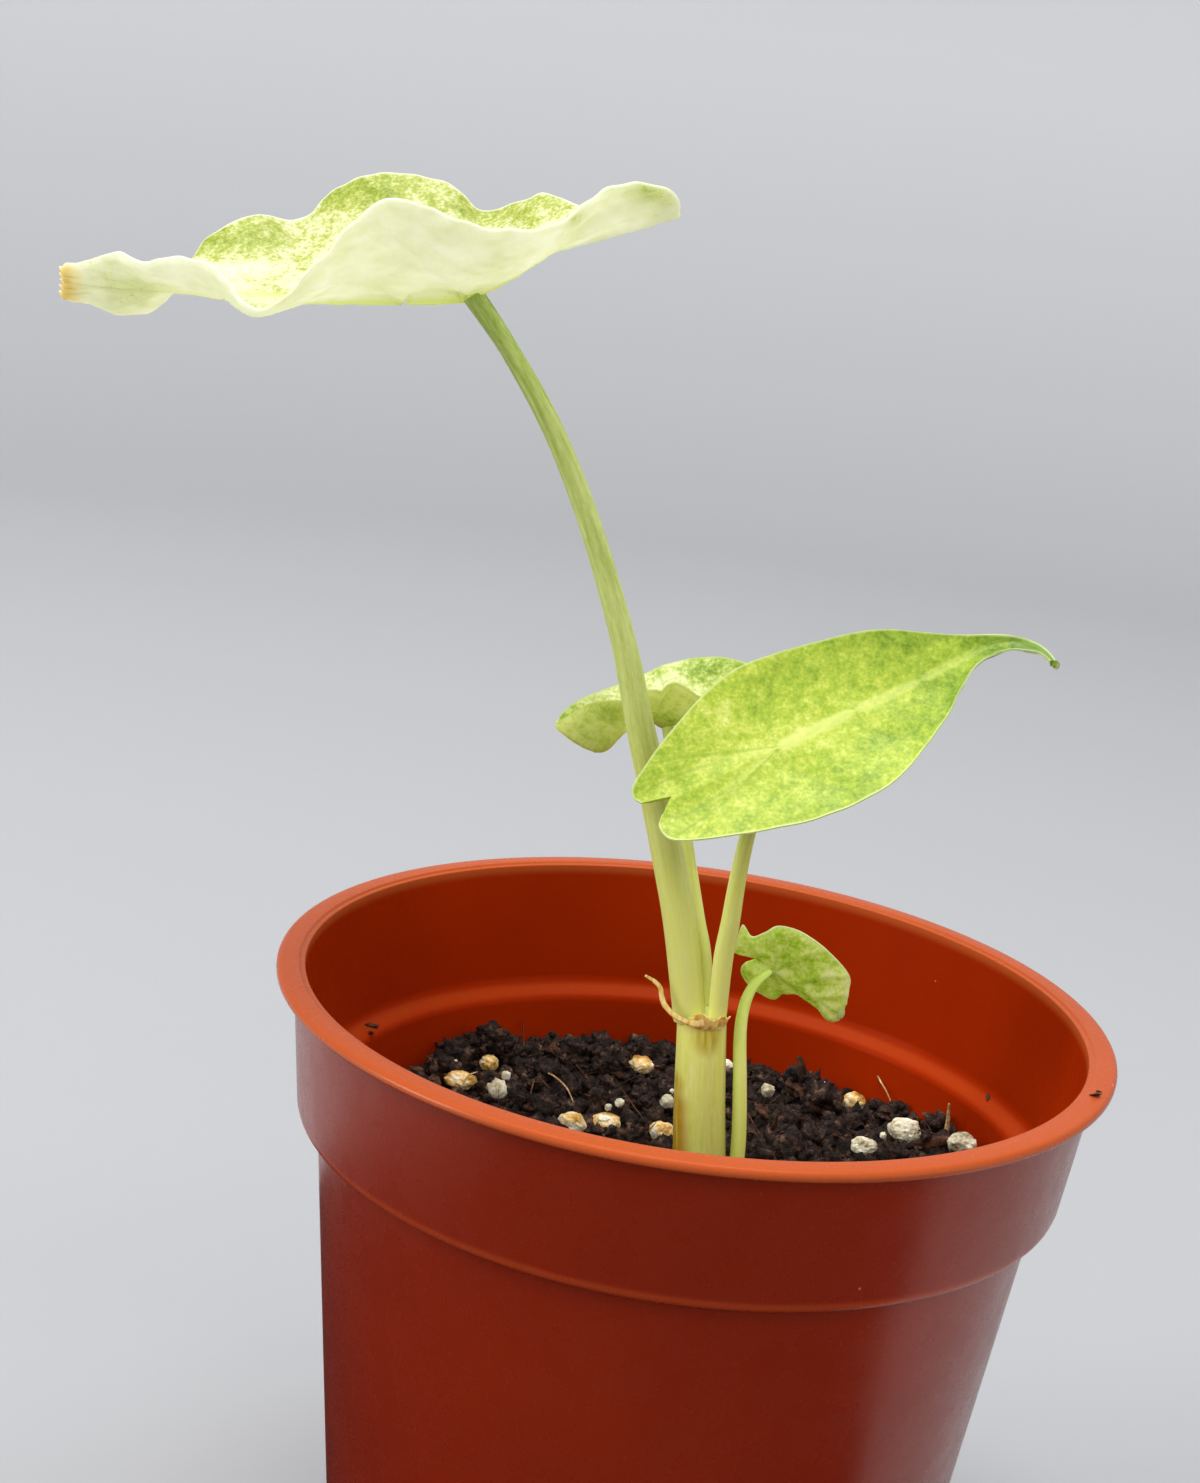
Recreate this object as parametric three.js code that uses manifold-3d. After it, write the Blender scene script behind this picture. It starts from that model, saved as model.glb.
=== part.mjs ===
// A young variegated alocasia in a round 9 cm moulded plastic pot.
// Millimetres, +Z up. The origin is the middle of the pot's base, and the view from the front looks along +Y.
import * as THREE from 'three';
import { mergeVertices } from 'three/addons/utils/BufferGeometryUtils.js';
import Module from 'manifold-3d';

// Driving dimensions of the pot. Radii shrink with depth because every wall has a draft.
const RIM_RADIUS = 45;
const POT_HEIGHT = 80;
const RIM_INNER_RADIUS = 41.9;
const RIM_THICKNESS = 1.1;
const COLLAR_TOP_RADIUS = 43.2;
const COLLAR_DRAFT = 0.107;
const COLLAR_DEPTH = 16.2;
const BODY_TOP_RADIUS = 41.04;
const BODY_DRAFT = 0.111;
const WALL = 0.95;
const FLOOR = 1.3;
const POT_SEGMENTS = 60;
const DRAIN_HOLES = 8;
const DRAIN_RADIUS = 2.4;
const DRAIN_CIRCLE_RADIUS = 25;
const DRAIN_SIDES = 10;
const FOOT_CORNER = 0.95;
const FLOOR_CORNER = 0.7;
const STEP_CORNER = 1.1;
const RIM_CORNER = 0.35;

// Driving dimensions of the plant and the substrate.
const GAP = 0.32;
const SOIL_LEVEL = 57.8;
const SOIL_SEGMENTS = 40;
const LEAF_THICKNESS = 0.7;
const STEM_X = 3.2;
const STEM_TOP = 77.5;
const STEM_FOOT = 50;

const COLOURS = {
  pot: 0x9a3217, soil: 0x2c211c, cream: 0xe3e6b0, green: 0xa9bf45, stalk: 0xb5bd6a,
  sheath: 0xc3c48a, dried: 0xd8b268, pumice: 0xd9c49c, white: 0xe6e2d8, corm: 0x8a6a42,
};

const wasm = await Module();
wasm.setup();

// Small helpers: seeded draws, solids for joins and cuts, and back to geometry.
function seeded(seed) {
  let state = seed;
  return () => {
    state = (state * 1664525 + 1013904223) % 4294967296;
    return state / 4294967296;
  };
}

function toSolid(geometry) {
  const bare = geometry.clone();
  bare.deleteAttribute('normal');
  bare.deleteAttribute('uv');
  const merged = mergeVertices(bare, 1e-4);
  const solid = new wasm.Manifold(new wasm.Mesh({
    numProp: 3,
    vertProperties: new Float32Array(merged.attributes.position.array),
    triVerts: new Uint32Array(merged.index.array),
  }));
  return solid;
}

function toGeometry(solid) {
  const mesh = solid.getMesh();
  const geometry = new THREE.BufferGeometry();
  geometry.setAttribute('position', new THREE.BufferAttribute(new Float32Array(mesh.vertProperties), 3));
  geometry.setIndex(new THREE.BufferAttribute(new Uint32Array(mesh.triVerts), 1));
  geometry.computeVertexNormals();
  return geometry;
}

function union(solids) {
  return solids.reduce((sum, solid) => sum.add(solid));
}

// A cut can leave a scrap on the far side, so only the largest piece is kept.
function largestPiece(solid) {
  const pieces = solid.decompose();
  return pieces.reduce((best, piece) => (piece.volume() > best.volume() ? piece : best));
}

function named(name, geometry, colour, roughness) {
  const material = new THREE.MeshStandardMaterial({ color: colour, roughness, metalness: 0 });
  const mesh = new THREE.Mesh(geometry, material);
  mesh.name = name;
  return mesh;
}

function lathe(profile, segments) {
  const points = profile.map(([radius, height]) => new THREE.Vector2(radius, height));
  return new THREE.LatheGeometry(points, segments).rotateX(Math.PI / 2);
}

function smoothCurve(points) {
  const corners = points.map(([x, y, z]) => new THREE.Vector3(x, y, z));
  return new THREE.CatmullRomCurve3(corners, false, 'catmullrom', 0.5);
}

// Value of a list of evenly spaced numbers at t, with straight steps between them.
function along(values, t) {
  const place = Math.min(Math.max(t, 0), 1) * (values.length - 1);
  const index = Math.min(Math.floor(place), values.length - 2);
  return THREE.MathUtils.lerp(values[index], values[index + 1], place - index);
}

// A tapered stalk is an upright cylinder bent along a curve. Flatness squashes it from front to back.
function stalk({ points, radii, sides, steps, flatness = 1, grow = 0 }) {
  const curve = smoothCurve(points);
  const geometry = new THREE.CylinderGeometry(1, 1, 1, sides, steps);
  const position = geometry.attributes.position;
  const corner = new THREE.Vector3();
  for (let i = 0; i < position.count; i += 1) {
    corner.fromBufferAttribute(position, i);
    const t = corner.y + 0.5;
    const radius = along(radii, t) + grow;
    const centre = curve.getPoint(t);
    const tangent = curve.getTangent(t);
    const across = new THREE.Vector3(0, 1, 0).cross(tangent).normalize();
    const forward = new THREE.Vector3().crossVectors(tangent, across);
    centre.addScaledVector(across, corner.z * radius);
    centre.addScaledVector(forward, corner.x * radius * flatness);
    position.setXYZ(i, centre.x, centre.y, centre.z);
  }
  return geometry;
}

// A thin sheet is a grid of points with the same triangles on both faces, closed by a strip round its edge.
function sheet(rows, columns, underAt, upperAt) {
  const positions = [];
  const index = [];
  const layer = (rows + 1) * (columns + 1);
  for (const pointAt of [underAt, upperAt]) {
    for (let i = 0; i <= rows; i += 1) {
      for (let j = 0; j <= columns; j += 1) {
        positions.push(...pointAt(i, j).toArray());
      }
    }
  }
  const at = (i, j) => i * (columns + 1) + j;
  for (let i = 0; i < rows; i += 1) {
    for (let j = 0; j < columns; j += 1) {
      const quad = [at(i, j), at(i + 1, j), at(i + 1, j + 1), at(i, j + 1)];
      index.push(quad[0], quad[1], quad[2], quad[0], quad[2], quad[3]);
      const above = quad.map((corner) => corner + layer);
      index.push(above[0], above[2], above[1], above[0], above[3], above[2]);
    }
  }
  const border = [];
  for (let i = 0; i < rows; i += 1) border.push(at(i, 0));
  for (let j = 0; j < columns; j += 1) border.push(at(rows, j));
  for (let i = rows; i > 0; i -= 1) border.push(at(i, columns));
  for (let j = columns; j > 0; j -= 1) border.push(at(0, j));
  border.forEach((corner, k) => {
    const next = border[(k + 1) % border.length];
    index.push(corner, corner + layer, next + layer, corner, next + layer, next);
  });
  const geometry = new THREE.BufferGeometry();
  geometry.setAttribute('position', new THREE.Float32BufferAttribute(positions, 3));
  geometry.setIndex(index);
  return geometry;
}

// Each leaf blade hangs on three curves from its tip to the notch behind the stalk: the midrib in the
// middle, and the two margins with their waves and lobes, left and right as seen from the stalk towards
// the tip with the upper side up. A margin has two points for each midrib step. The sag is the share of
// the half's width by which it bellies below a straight line.
const TOP_LEAF = {
  midrib: [
    [-74.5, 0, 146], [-68.3, 0, 146.6], [-61.6, 0, 147.1], [-54.3, 0, 147.2], [-46.1, 0, 148.3],
    [-38, 0, 149.4], [-32.7, 0, 150.6], [-30.4, 0, 152.4], [-29.1, 0, 153.4], [-28.4, 0, 153.8],
  ],
  left: [
    [-74.2, -1, 147.7], [-71, -2.5, 148.6], [-67.3, -5, 150.1], [-63.7, -7, 149.6], [-60.1, -9.5, 150.9],
    [-55.8, -12, 150.3], [-50.9, -14.5, 147.2], [-46.6, -16.5, 150.5], [-43.3, -17.5, 154.9],
    [-40, -18, 158.3], [-37, -18, 159.4], [-32.3, -17.5, 158.4], [-27.7, -16, 157.7],
    [-24.1, -14.5, 158.4], [-21.7, -13, 160.3], [-18.3, -11, 162.8], [-14.2, -9, 163.1],
    [-11.8, -7, 161.6], [-12.7, -5.5, 159.5],
  ],
  right: [
    [-74.6, 1, 144.4], [-72, 2.5, 144.1], [-68.9, 5, 143], [-66.4, 7, 144.3], [-63.9, 9, 148.8],
    [-61.7, 11.5, 152], [-57.8, 14, 154.4], [-54.1, 16, 154.1], [-51.5, 17.5, 156.7], [-48.5, 18, 159.3],
    [-44.3, 18.5, 160.3], [-38.8, 18, 160.1], [-34.5, 16.5, 157.9], [-31.2, 15, 158.7],
    [-27.4, 13, 160.3], [-23.4, 11, 159.8], [-20, 9, 160.3], [-17.3, 7, 160.5], [-18.2, 5.5, 159.2],
  ],
  stalkStep: 6, rib: 0.9, sag: 0.07, rows: 45, columns: [-1, -0.7, -0.38, -0.1, 0, 0.1, 0.38, 0.7, 1],
};
const MIDDLE_LEAF = {
  midrib: [
    [31.5, -3.7, 121.1], [29.2, -1.1, 122.3], [25.8, 0.3, 122], [21.5, -0.3, 119.4], [16.8, -1.3, 116.2],
    [11.1, -3.4, 113], [4.6, -6, 109.2], [-1.1, -8.6, 105.6], [-3.7, -9.4, 104.2], [-5.3, -9.8, 103.6],
  ],
  right: [
    [31.3, -3.8, 120.9], [30.1, -2.2, 121.8], [28.5, -1.3, 121.9], [26.6, -1, 121.6], [24.4, -1.3, 120.6],
    [23, -2.1, 119], [22, -3.5, 116.7], [21, -5.2, 114.4], [19.3, -7, 111.8], [17, -9.3, 108.8],
    [13.7, -10.9, 106.4], [9.3, -12.1, 104.1], [4, -12.9, 102.3], [0.6, -13.4, 101.4],
    [-2.8, -13.7, 100.5], [-4.9, -13.4, 100.3], [-6, -12.5, 101.1], [-6, -11.6, 101.9],
    [-5.8, -10.9, 102.4],
  ],
  left: [
    [31.6, -3.5, 121.2], [30.7, -2, 122.1], [29.3, -0.7, 122.7], [27.5, 0, 122.9], [25.3, 0.4, 122.7],
    [21.7, 0.8, 122.1], [18.1, 1.1, 121.8], [14.5, 1.3, 121.6], [11, 1.1, 120.8], [7.1, 0.3, 119.4],
    [3.1, -0.6, 117.8], [-0.7, -1.8, 115.9], [-3.6, -3.5, 113.1], [-5.7, -5.3, 110.3],
    [-7.2, -6.7, 108.1], [-8.4, -8.2, 106], [-9.3, -9.5, 104.2], [-9.1, -10.1, 103.1],
    [-8.2, -10.5, 102.7],
  ],
  stalkStep: 6, rib: 0.6, sag: 0.05, rows: 36, columns: [-1, -0.7, -0.4, -0.12, 0, 0.12, 0.4, 0.7, 1],
};
const BACK_LEAF = {
  midrib: [
    [-19.1, 8, 105.2], [-16.7, 8, 103.7], [-14.1, 8.5, 103], [-12.6, 9, 104.6], [-10.9, 9, 106.8],
    [-9, 9, 107.4], [-7.3, 9, 106.7], [-4.9, 9, 107.9], [-3.1, 9, 109.2], [-1.7, 9, 110.1],
  ],
  left: [
    [-19, 7.7, 105.2], [-18.1, 7.5, 106], [-17.2, 7, 106.8], [-15.9, 6.5, 108], [-14.6, 6, 108.7],
    [-13.4, 5.5, 109.1], [-12.2, 5, 109.4], [-11.1, 4.6, 110.1], [-9.9, 4.4, 110.9], [-8.9, 4.4, 111.1],
    [-8.1, 4.5, 111.1], [-7.6, 4.5, 111.8], [-6.8, 4.6, 112.2], [-5.7, 4.8, 111.8], [-4.2, 5, 110.9],
    [-2.7, 5.4, 110.8], [-1.3, 5.8, 111.4], [-0.1, 6.4, 111.8], [0.6, 7, 111.8],
  ],
  right: [
    [-19.1, 8.3, 105.3], [-18.6, 9, 106.1], [-17.8, 10, 106.9], [-16.8, 11, 107.5], [-15.5, 12, 108.1],
    [-14.4, 13, 108.5], [-13.2, 13.6, 109], [-11.8, 14, 109.8], [-10.3, 14.3, 110.6], [-9.3, 14.5, 111.2],
    [-8.3, 14.6, 111.8], [-6.5, 14.6, 112.5], [-4.7, 14.4, 113.1], [-2.8, 14, 113.5], [-0.9, 13.4, 113.6],
    [0.8, 12.6, 113.4], [2.2, 11.6, 112.8], [2.8, 10.6, 112], [2.3, 10, 111.1],
  ],
  stalkStep: 6, rib: 0.5, sag: 0.06, rows: 32, columns: [-1, -0.6, -0.2, 0, 0.2, 0.6, 1],
};
const SMALL_LEAF = {
  midrib: [
    [16.1, 3.4, 78.4], [13.3, 3.2, 80], [10.6, 2.9, 81.4], [8.1, 2.6, 82.8], [7.2, 2.4, 83.2],
    [6.6, 2.3, 83.5], [6.2, 2.2, 83.8],
  ],
  left: [
    [15.8, 3.6, 77.6], [14.5, 4, 77.3], [13.1, 4.4, 78.6], [11.2, 4.6, 79.5], [9.4, 4.8, 79.3],
    [8.5, 4.8, 78.5], [7.1, 4.6, 78.9], [5.8, 4.2, 79.7], [4.7, 3.6, 81.1], [4.4, 3, 82.2],
    [4.8, 2.6, 82.9],
  ],
  right: [
    [16.2, 3, 79.8], [16.2, 2.6, 81.7], [16, 2.2, 83.3], [14.1, 1.6, 85.3], [12, 1.2, 86.9],
    [9.8, 1, 87.9], [7.6, 0.8, 88.1], [6.3, 0.9, 87.2], [5, 1, 86.5], [3.8, 1, 87.6],
    [3.3, 1.8, 84.2],
  ],
  stalkStep: 3, rib: 0.4, sag: 0.05, rows: 22, columns: [-1, -0.6, -0.2, 0, 0.2, 0.6, 1],
};

// Middle surface of a blade: u runs from the tip to the notch, v from the right margin to the left one.
function bladeSurface(leaf) {
  const midrib = smoothCurve(leaf.midrib);
  const left = smoothCurve(leaf.left);
  const right = smoothCurve(leaf.right);
  return (u, v) => {
    const root = midrib.getPoint(u);
    const edge = (v >= 0 ? left : right).getPoint(u);
    const span = new THREE.Vector3().subVectors(left.getPoint(u), right.getPoint(u));
    const side = Math.abs(v);
    const down = midrib.getTangent(u).cross(span).normalize();
    const belly = leaf.sag * root.distanceTo(edge) * 4 * side * (1 - side);
    return root.lerp(edge, side).addScaledVector(down, belly);
  };
}

// The blade has one thickness, and its midrib stands out of the underside as a rib, thickest at the stalk.
function blade(leaf, grow = 0) {
  const surface = bladeSurface(leaf);
  const { rows, columns } = leaf;
  const last = columns.length - 1;
  const grid = [];
  for (let i = 0; i <= rows; i += 1) {
    grid.push(columns.map((v) => surface(i / rows, v)));
  }
  const downwards = grid.map((row, i) => row.map((point, j) => {
    const ahead = grid[Math.min(i + 1, rows)][j].clone().sub(grid[Math.max(i - 1, 0)][j]);
    const across = row[Math.min(j + 1, last)].clone().sub(row[Math.max(j - 1, 0)]);
    return ahead.cross(across).normalize();
  }));
  const stalkAt = leaf.stalkStep / (leaf.midrib.length - 1);
  const ribDepth = (i, j) => {
    const u = i / rows;
    const reach = u < stalkAt ? u / stalkAt : (1 - u) / (1 - stalkAt);
    return columns[j] === 0 ? leaf.rib * Math.sqrt(reach) : 0;
  };
  const half = LEAF_THICKNESS / 2 + grow;
  const under = (i, j) => grid[i][j].clone().addScaledVector(downwards[i][j], half + ribDepth(i, j));
  const upper = (i, j) => grid[i][j].clone().addScaledVector(downwards[i][j], -half);
  return sheet(rows, last, under, upper);
}

// The stalk ends inside the blade's clearance and is cut back by it, so it meets the underside.
function stalkUnder(stalkSpec, leaf) {
  const cut = toSolid(stalk(stalkSpec)).subtract(toSolid(blade(leaf, GAP)));
  return toGeometry(largestPiece(cut));
}

const TOP_STALK = {
  points: [
    [-0.35, 0, STEM_TOP + GAP], [-2.6, 0, 86.4], [-4.6, 0, 93.1], [-7, 0, 100.3], [-9.6, 0, 107.6],
    [-12.3, 0, 115.9], [-15.3, 0, 123.4], [-18.7, 0, 130.8], [-22.8, 0, 138.1], [-27.8, 0, 145],
    [-32.9, 0, 151.2],
  ],
  radii: [1.8, 1.82, 1.78, 1.7, 1.52, 1.36, 1.23, 1.17, 1.11, 1, 1.25],
  sides: 9, steps: 24,
};
const MIDDLE_STALK = {
  points: [
    [2.6, -1.2, STEM_TOP + GAP], [2.3, -1.5, 84.1], [2.5, -2.2, 88.9], [2.6, -3.2, 93.8],
    [2.9, -4.4, 98.6], [3.5, -5.6, 104.5], [4.7, -5.8, 109],
  ],
  radii: [0.98, 1.06, 1, 0.89, 0.81, 0.77, 0.85],
  sides: 8, steps: 14,
};
const BACK_STALK = {
  points: [
    [1, 2.7, STEM_TOP + GAP], [0.3, 2.8, 82.6], [-1, 3.2, 86.8], [-2.4, 4, 91.4], [-3.8, 5, 96],
    [-5.4, 6.6, 101], [-7.3, 9, 106.9],
  ],
  radii: [0.8, 0.8, 0.8, 0.78, 0.75, 0.7, 0.7],
  sides: 8, steps: 14,
};
const SMALL_STALK = {
  points: [
    [7.1, 0.1, 49.5], [7, 0, 56.5], [6.8, -0.1, 62.9], [6.1, -0.2, 69.3], [5.4, -0.1, 74.4],
    [5.2, 0.2, 77.4], [5.5, 0.7, 79.8], [6.5, 1.5, 81.6], [8.1, 2.5, 82.7],
  ],
  radii: [0.75, 0.8, 0.82, 0.77, 0.71, 0.65, 0.6, 0.55, 0.55],
  sides: 8, steps: 20,
};

// The stem is the bundle of stalk bases held by their sheaths, flattened a little from front to back.
const STEM = {
  points: [[STEM_X, 0, STEM_FOOT], [3, 0.1, 58], [1.9, 0.3, 67.5], [0.85, 0.5, STEM_TOP]],
  radii: [2.6, 2.95, 2.8, 2.65],
  sides: 14, steps: 6, flatness: 1.06,
};

// The corm is a short swollen stock under the stem, with thick roots that spread through the substrate.
const CORM_TOP = STEM_FOOT - GAP;
const CORM_PROFILE = [
  [0, -13], [2.4, -12.3], [4, -9.5], [4.5, -6.5], [3.9, -3], [2.6, -0.6], [2.3, 0], [0, 0],
];
const CORM_WAIST = -6;
const ROOT_COUNT = 5;
const ROOT_SPREAD = 24;
const ROOT_FOOT = 12;
const ROOT_START = 0.4;
const ROOT_TWIST = 0.5;
const ROOT_RADII = [1, 0.9, 0.8, 0.6];
const ROOT_COURSE = [[0.08, -9.5], [0.32, -12], [0.7, -20], [1, ROOT_FOOT - CORM_TOP]];

function corm(grow = 0) {
  const stretched = CORM_PROFILE.map(([radius, height]) => [
    radius > 0 ? radius + grow : 0,
    CORM_TOP + height + (height < CORM_WAIST ? -grow : grow),
  ]);
  const stock = toSolid(lathe(stretched, 12)).translate([STEM_X, 0, 0]);
  const roots = [];
  for (let k = 0; k < ROOT_COUNT; k += 1) {
    const turn = (k / ROOT_COUNT) * 2 * Math.PI + ROOT_START;
    const points = ROOT_COURSE.map(([share, drop]) => [
      STEM_X + Math.cos(turn + share * ROOT_TWIST) * ROOT_SPREAD * share,
      Math.sin(turn + share * ROOT_TWIST) * ROOT_SPREAD * share,
      CORM_TOP + drop,
    ]);
    roots.push(toSolid(stalk({ points, radii: ROOT_RADII, sides: 5, steps: 5, grow })));
  }
  return union([stock, ...roots]);
}

// Stones: pale pumice lumps, each half sunk in a socket of its own. The first ten are the ones in view,
// and the rest lie where the front wall hides them.
const STONES = [
  { x: 26.2, y: 17.5, size: 2.1, tone: 'white' },
  { x: -12, y: 10.2, size: 1.8, tone: 'pumice' },
  { x: -8.2, y: 12.2, size: 1.5, tone: 'pumice' },
  { x: -1.7, y: 11.2, size: 1.6, tone: 'pumice' },
  { x: -25.9, y: 15.8, size: 1.8, tone: 'pumice' },
  { x: -23.2, y: 21.4, size: 1.4, tone: 'pumice' },
  { x: -5.5, y: 29, size: 1.5, tone: 'pumice' },
  { x: 20.5, y: 27.6, size: 1.6, tone: 'pumice' },
  { x: 21.4, y: 14, size: 1.5, tone: 'white' },
  { x: 32.4, y: 13, size: 1.5, tone: 'white' },
  { x: 14, y: -9, size: 1.8, tone: 'pumice' },
  { x: -14, y: -6, size: 2, tone: 'pumice' },
  { x: -25, y: -15, size: 1.6, tone: 'white' },
  { x: 26, y: -17, size: 1.9, tone: 'pumice' },
  { x: 5, y: -25, size: 1.7, tone: 'pumice' },
  { x: -8, y: -30, size: 1.5, tone: 'white' },
];
const STONE_RISE = 0.35;
const STONE_SEED = 17;
const WIDE_BUMP = 0.13;
const TALL_BUMP = 0.09;

// An uneven round lump: two waves bump its surface, and it is squashed most from top to bottom.
function lump(size, seed, detail, grow = 0) {
  const draw = seeded(seed);
  const phase = [draw() * 6, draw() * 6, draw() * 6];
  const squash = new THREE.Vector3(0.95 + draw() * 0.25, 0.85 + draw() * 0.25, 0.72 + draw() * 0.18);
  const geometry = new THREE.IcosahedronGeometry(1, detail);
  const position = geometry.attributes.position;
  for (let i = 0; i < position.count; i += 1) {
    const corner = new THREE.Vector3().fromBufferAttribute(position, i);
    const bump = 1 + WIDE_BUMP * Math.sin(3.1 * corner.x + phase[0]) * Math.cos(2.7 * corner.y + phase[1])
      + TALL_BUMP * Math.sin(4.3 * corner.z + phase[2]);
    corner.multiply(squash).multiplyScalar(size * bump + grow);
    position.setXYZ(i, corner.x, corner.y, corner.z);
  }
  return geometry;
}

function stoneSolid(stone, index, grow = 0) {
  const height = soilHeight(stone.x, stone.y) + stone.size * STONE_RISE;
  return toSolid(lump(stone.size, STONE_SEED + index * 5, 1, grow)).translate([stone.x, stone.y, height]);
}

// The substrate's surface: a few mounds against the wall, a hollow round the stem and small clods.
const MOUNDS = [
  { x: -25, y: 26, rise: 1.6, reach: 8 },
  { x: -13, y: 31, rise: 1.4, reach: 6 },
  { x: 32, y: 14, rise: 2.8, reach: 9 },
  { x: 6, y: 22, rise: 1, reach: 6 },
  { x: -20, y: -18, rise: 1, reach: 9 },
  { x: 16, y: -24, rise: 1.3, reach: 8 },
];

function soilHeight(x, y) {
  const mounds = MOUNDS.reduce((sum, mound) => {
    const away = (x - mound.x) ** 2 + (y - mound.y) ** 2;
    return sum + mound.rise * Math.exp(-away / mound.reach ** 2);
  }, 0);
  const clods = 0.4 * Math.sin(0.83 * x + 1.3) * Math.cos(0.71 * y) + 0.3 * Math.sin(1.37 * y - 0.9 * x);
  return SOIL_LEVEL + mounds + clods;
}

function bodyInnerRadius(z) {
  return BODY_TOP_RADIUS - WALL - BODY_DRAFT * (POT_HEIGHT - z);
}

// Bark and peat lumps stand out of the surface and are one body with it.
const CLOD_COUNT = 12;
const CLOD_RING = { inner: 9, width: 23 };
const CLOD_SIZE = { least: 1.3, range: 1.1 };
const CLOD_RISE = 0.2;
const CLOD_SEED = 4021;

function clods() {
  const draw = seeded(CLOD_SEED);
  const solids = [];
  while (solids.length < CLOD_COUNT) {
    const turn = draw() * 2 * Math.PI;
    const away = CLOD_RING.inner + draw() * CLOD_RING.width;
    const size = CLOD_SIZE.least + draw() * CLOD_SIZE.range;
    const x = Math.cos(turn) * away;
    const y = Math.sin(turn) * away;
    const free = STONES.every((stone) => Math.hypot(stone.x - x, stone.y - y) > stone.size + size * 1.5);
    if (free) {
      const body = lump(size, CLOD_SEED + solids.length * 7, 0);
      solids.push(toSolid(body).translate([x, y, soilHeight(x, y) + size * CLOD_RISE]));
    }
  }
  return solids;
}

// The soil's top is a set of rings that take their height from the surface formula.
const SOIL_RINGS = [35.4, 32.6, 29.4, 26, 22.4, 18.6, 14.6, 10.6, 7, 3.6, 0];
const SOIL_EDGE_DROP = 0.6;

function soil() {
  const bottom = FLOOR + GAP;
  const sideTop = SOIL_LEVEL - SOIL_EDGE_DROP;
  const foot = bodyInnerRadius(bottom) - GAP - FLOOR_CORNER;
  const shoulder = bodyInnerRadius(sideTop) - GAP;
  const top = SOIL_RINGS.map((radius) => [radius, SOIL_LEVEL]);
  const profile = [[0, bottom], [foot, bottom], [shoulder, sideTop], ...top];
  const geometry = lathe(profile, SOIL_SEGMENTS);
  const position = geometry.attributes.position;
  for (let i = 0; i < position.count; i += 1) {
    if (position.getZ(i) > sideTop + 0.1) {
      position.setZ(i, soilHeight(position.getX(i), position.getY(i)));
    }
  }
  const mass = union([toSolid(geometry), ...clods()]);
  const holes = union([
    toSolid(stalk({ ...STEM, grow: GAP })),
    toSolid(stalk({ ...SMALL_STALK, grow: GAP })),
    corm(GAP),
    ...STONES.map((stone, index) => stoneSolid(stone, index, GAP)),
  ]);
  return toGeometry(largestPiece(mass.subtract(holes)));
}

// The pot: thin walls all round, a wide collar with a step inside and out, and a flat rolled rim.
function potProfile() {
  const top = POT_HEIGHT;
  const under = top - RIM_THICKNESS;
  const step = top - COLLAR_DEPTH;
  const collar = (z) => COLLAR_TOP_RADIUS - COLLAR_DRAFT * (top - z);
  const body = (z) => BODY_TOP_RADIUS - BODY_DRAFT * (top - z);
  const ledge = step + STEP_CORNER;
  return [
    [0, 0], [body(0) - FOOT_CORNER, 0], [body(0) - FOOT_CORNER / 4, FOOT_CORNER / 4],
    [body(FOOT_CORNER), FOOT_CORNER], [body(step), step - RIM_CORNER],
    [collar(step) - STEP_CORNER, step - RIM_CORNER / 2],
    [collar(step) - STEP_CORNER / 4, step + STEP_CORNER / 4],
    [collar(step), ledge], [collar(under), under], [RIM_RADIUS - RIM_CORNER, under],
    [RIM_RADIUS, under + RIM_CORNER], [RIM_RADIUS - RIM_CORNER / 3, top - RIM_CORNER * 0.8],
    [RIM_RADIUS - RIM_CORNER * 2, top], [RIM_INNER_RADIUS + RIM_CORNER * 2, top],
    [RIM_INNER_RADIUS + RIM_CORNER / 4, top - RIM_CORNER * 0.7],
    [collar(ledge) - WALL, ledge + RIM_CORNER], [collar(ledge) - WALL - RIM_CORNER, ledge - RIM_CORNER / 2],
    [body(step) - WALL + STEP_CORNER * 0.6, step + RIM_CORNER], [body(step) - WALL, step - RIM_CORNER / 2],
    [body(FLOOR) - WALL, FLOOR + FLOOR_CORNER], [body(FLOOR) - WALL - FLOOR_CORNER, FLOOR], [0, FLOOR],
  ];
}

function pot() {
  const shell = toSolid(lathe(potProfile(), POT_SEGMENTS));
  const drains = [];
  for (let k = 0; k < DRAIN_HOLES; k += 1) {
    const turn = ((k + 0.5) / DRAIN_HOLES) * 2 * Math.PI;
    const hole = new THREE.CylinderGeometry(DRAIN_RADIUS, DRAIN_RADIUS, 4 * FLOOR, DRAIN_SIDES);
    hole.rotateX(Math.PI / 2);
    hole.translate(Math.cos(turn) * DRAIN_CIRCLE_RADIUS, Math.sin(turn) * DRAIN_CIRCLE_RADIUS, 0);
    drains.push(toSolid(hole));
  }
  return toGeometry(shell.subtract(union(drains)));
}

// The dried top of the oldest sheath: a papery strip round the front right of the stem with one long curl.
const STRIP_CENTRE = { x: 0.85, y: 0.5 };
const STRIP_RADIUS = 3.12;
const STRIP_THICKNESS = 0.6;
const STRIP_FOOT = 75.9;
const STRIP_HEIGHT = 1.1;
const STRIP_RAGGED = 0.3;
const STRIP_ARC = { from: -102, to: -38 };
const STRIP_ROWS = 10;
const STRIP_FLARE = 0.36;
const CURL = {
  points: [
    [1.2, -3.2, 77.5], [0.3, -3.35, 77.3], [-0.6, -3.3, 77.4], [-1.9, -2.9, 77.7], [-3.1, -2.4, 78.5],
    [-3.6, -2, 79.3], [-3.9, -1.8, 80.2], [-4.6, -1.7, 80.8], [-5.7, -1.6, 81.3],
  ],
  radii: [0.36, 0.32, 0.3, 0.3, 0.3], sides: 6, steps: 18,
};

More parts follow.
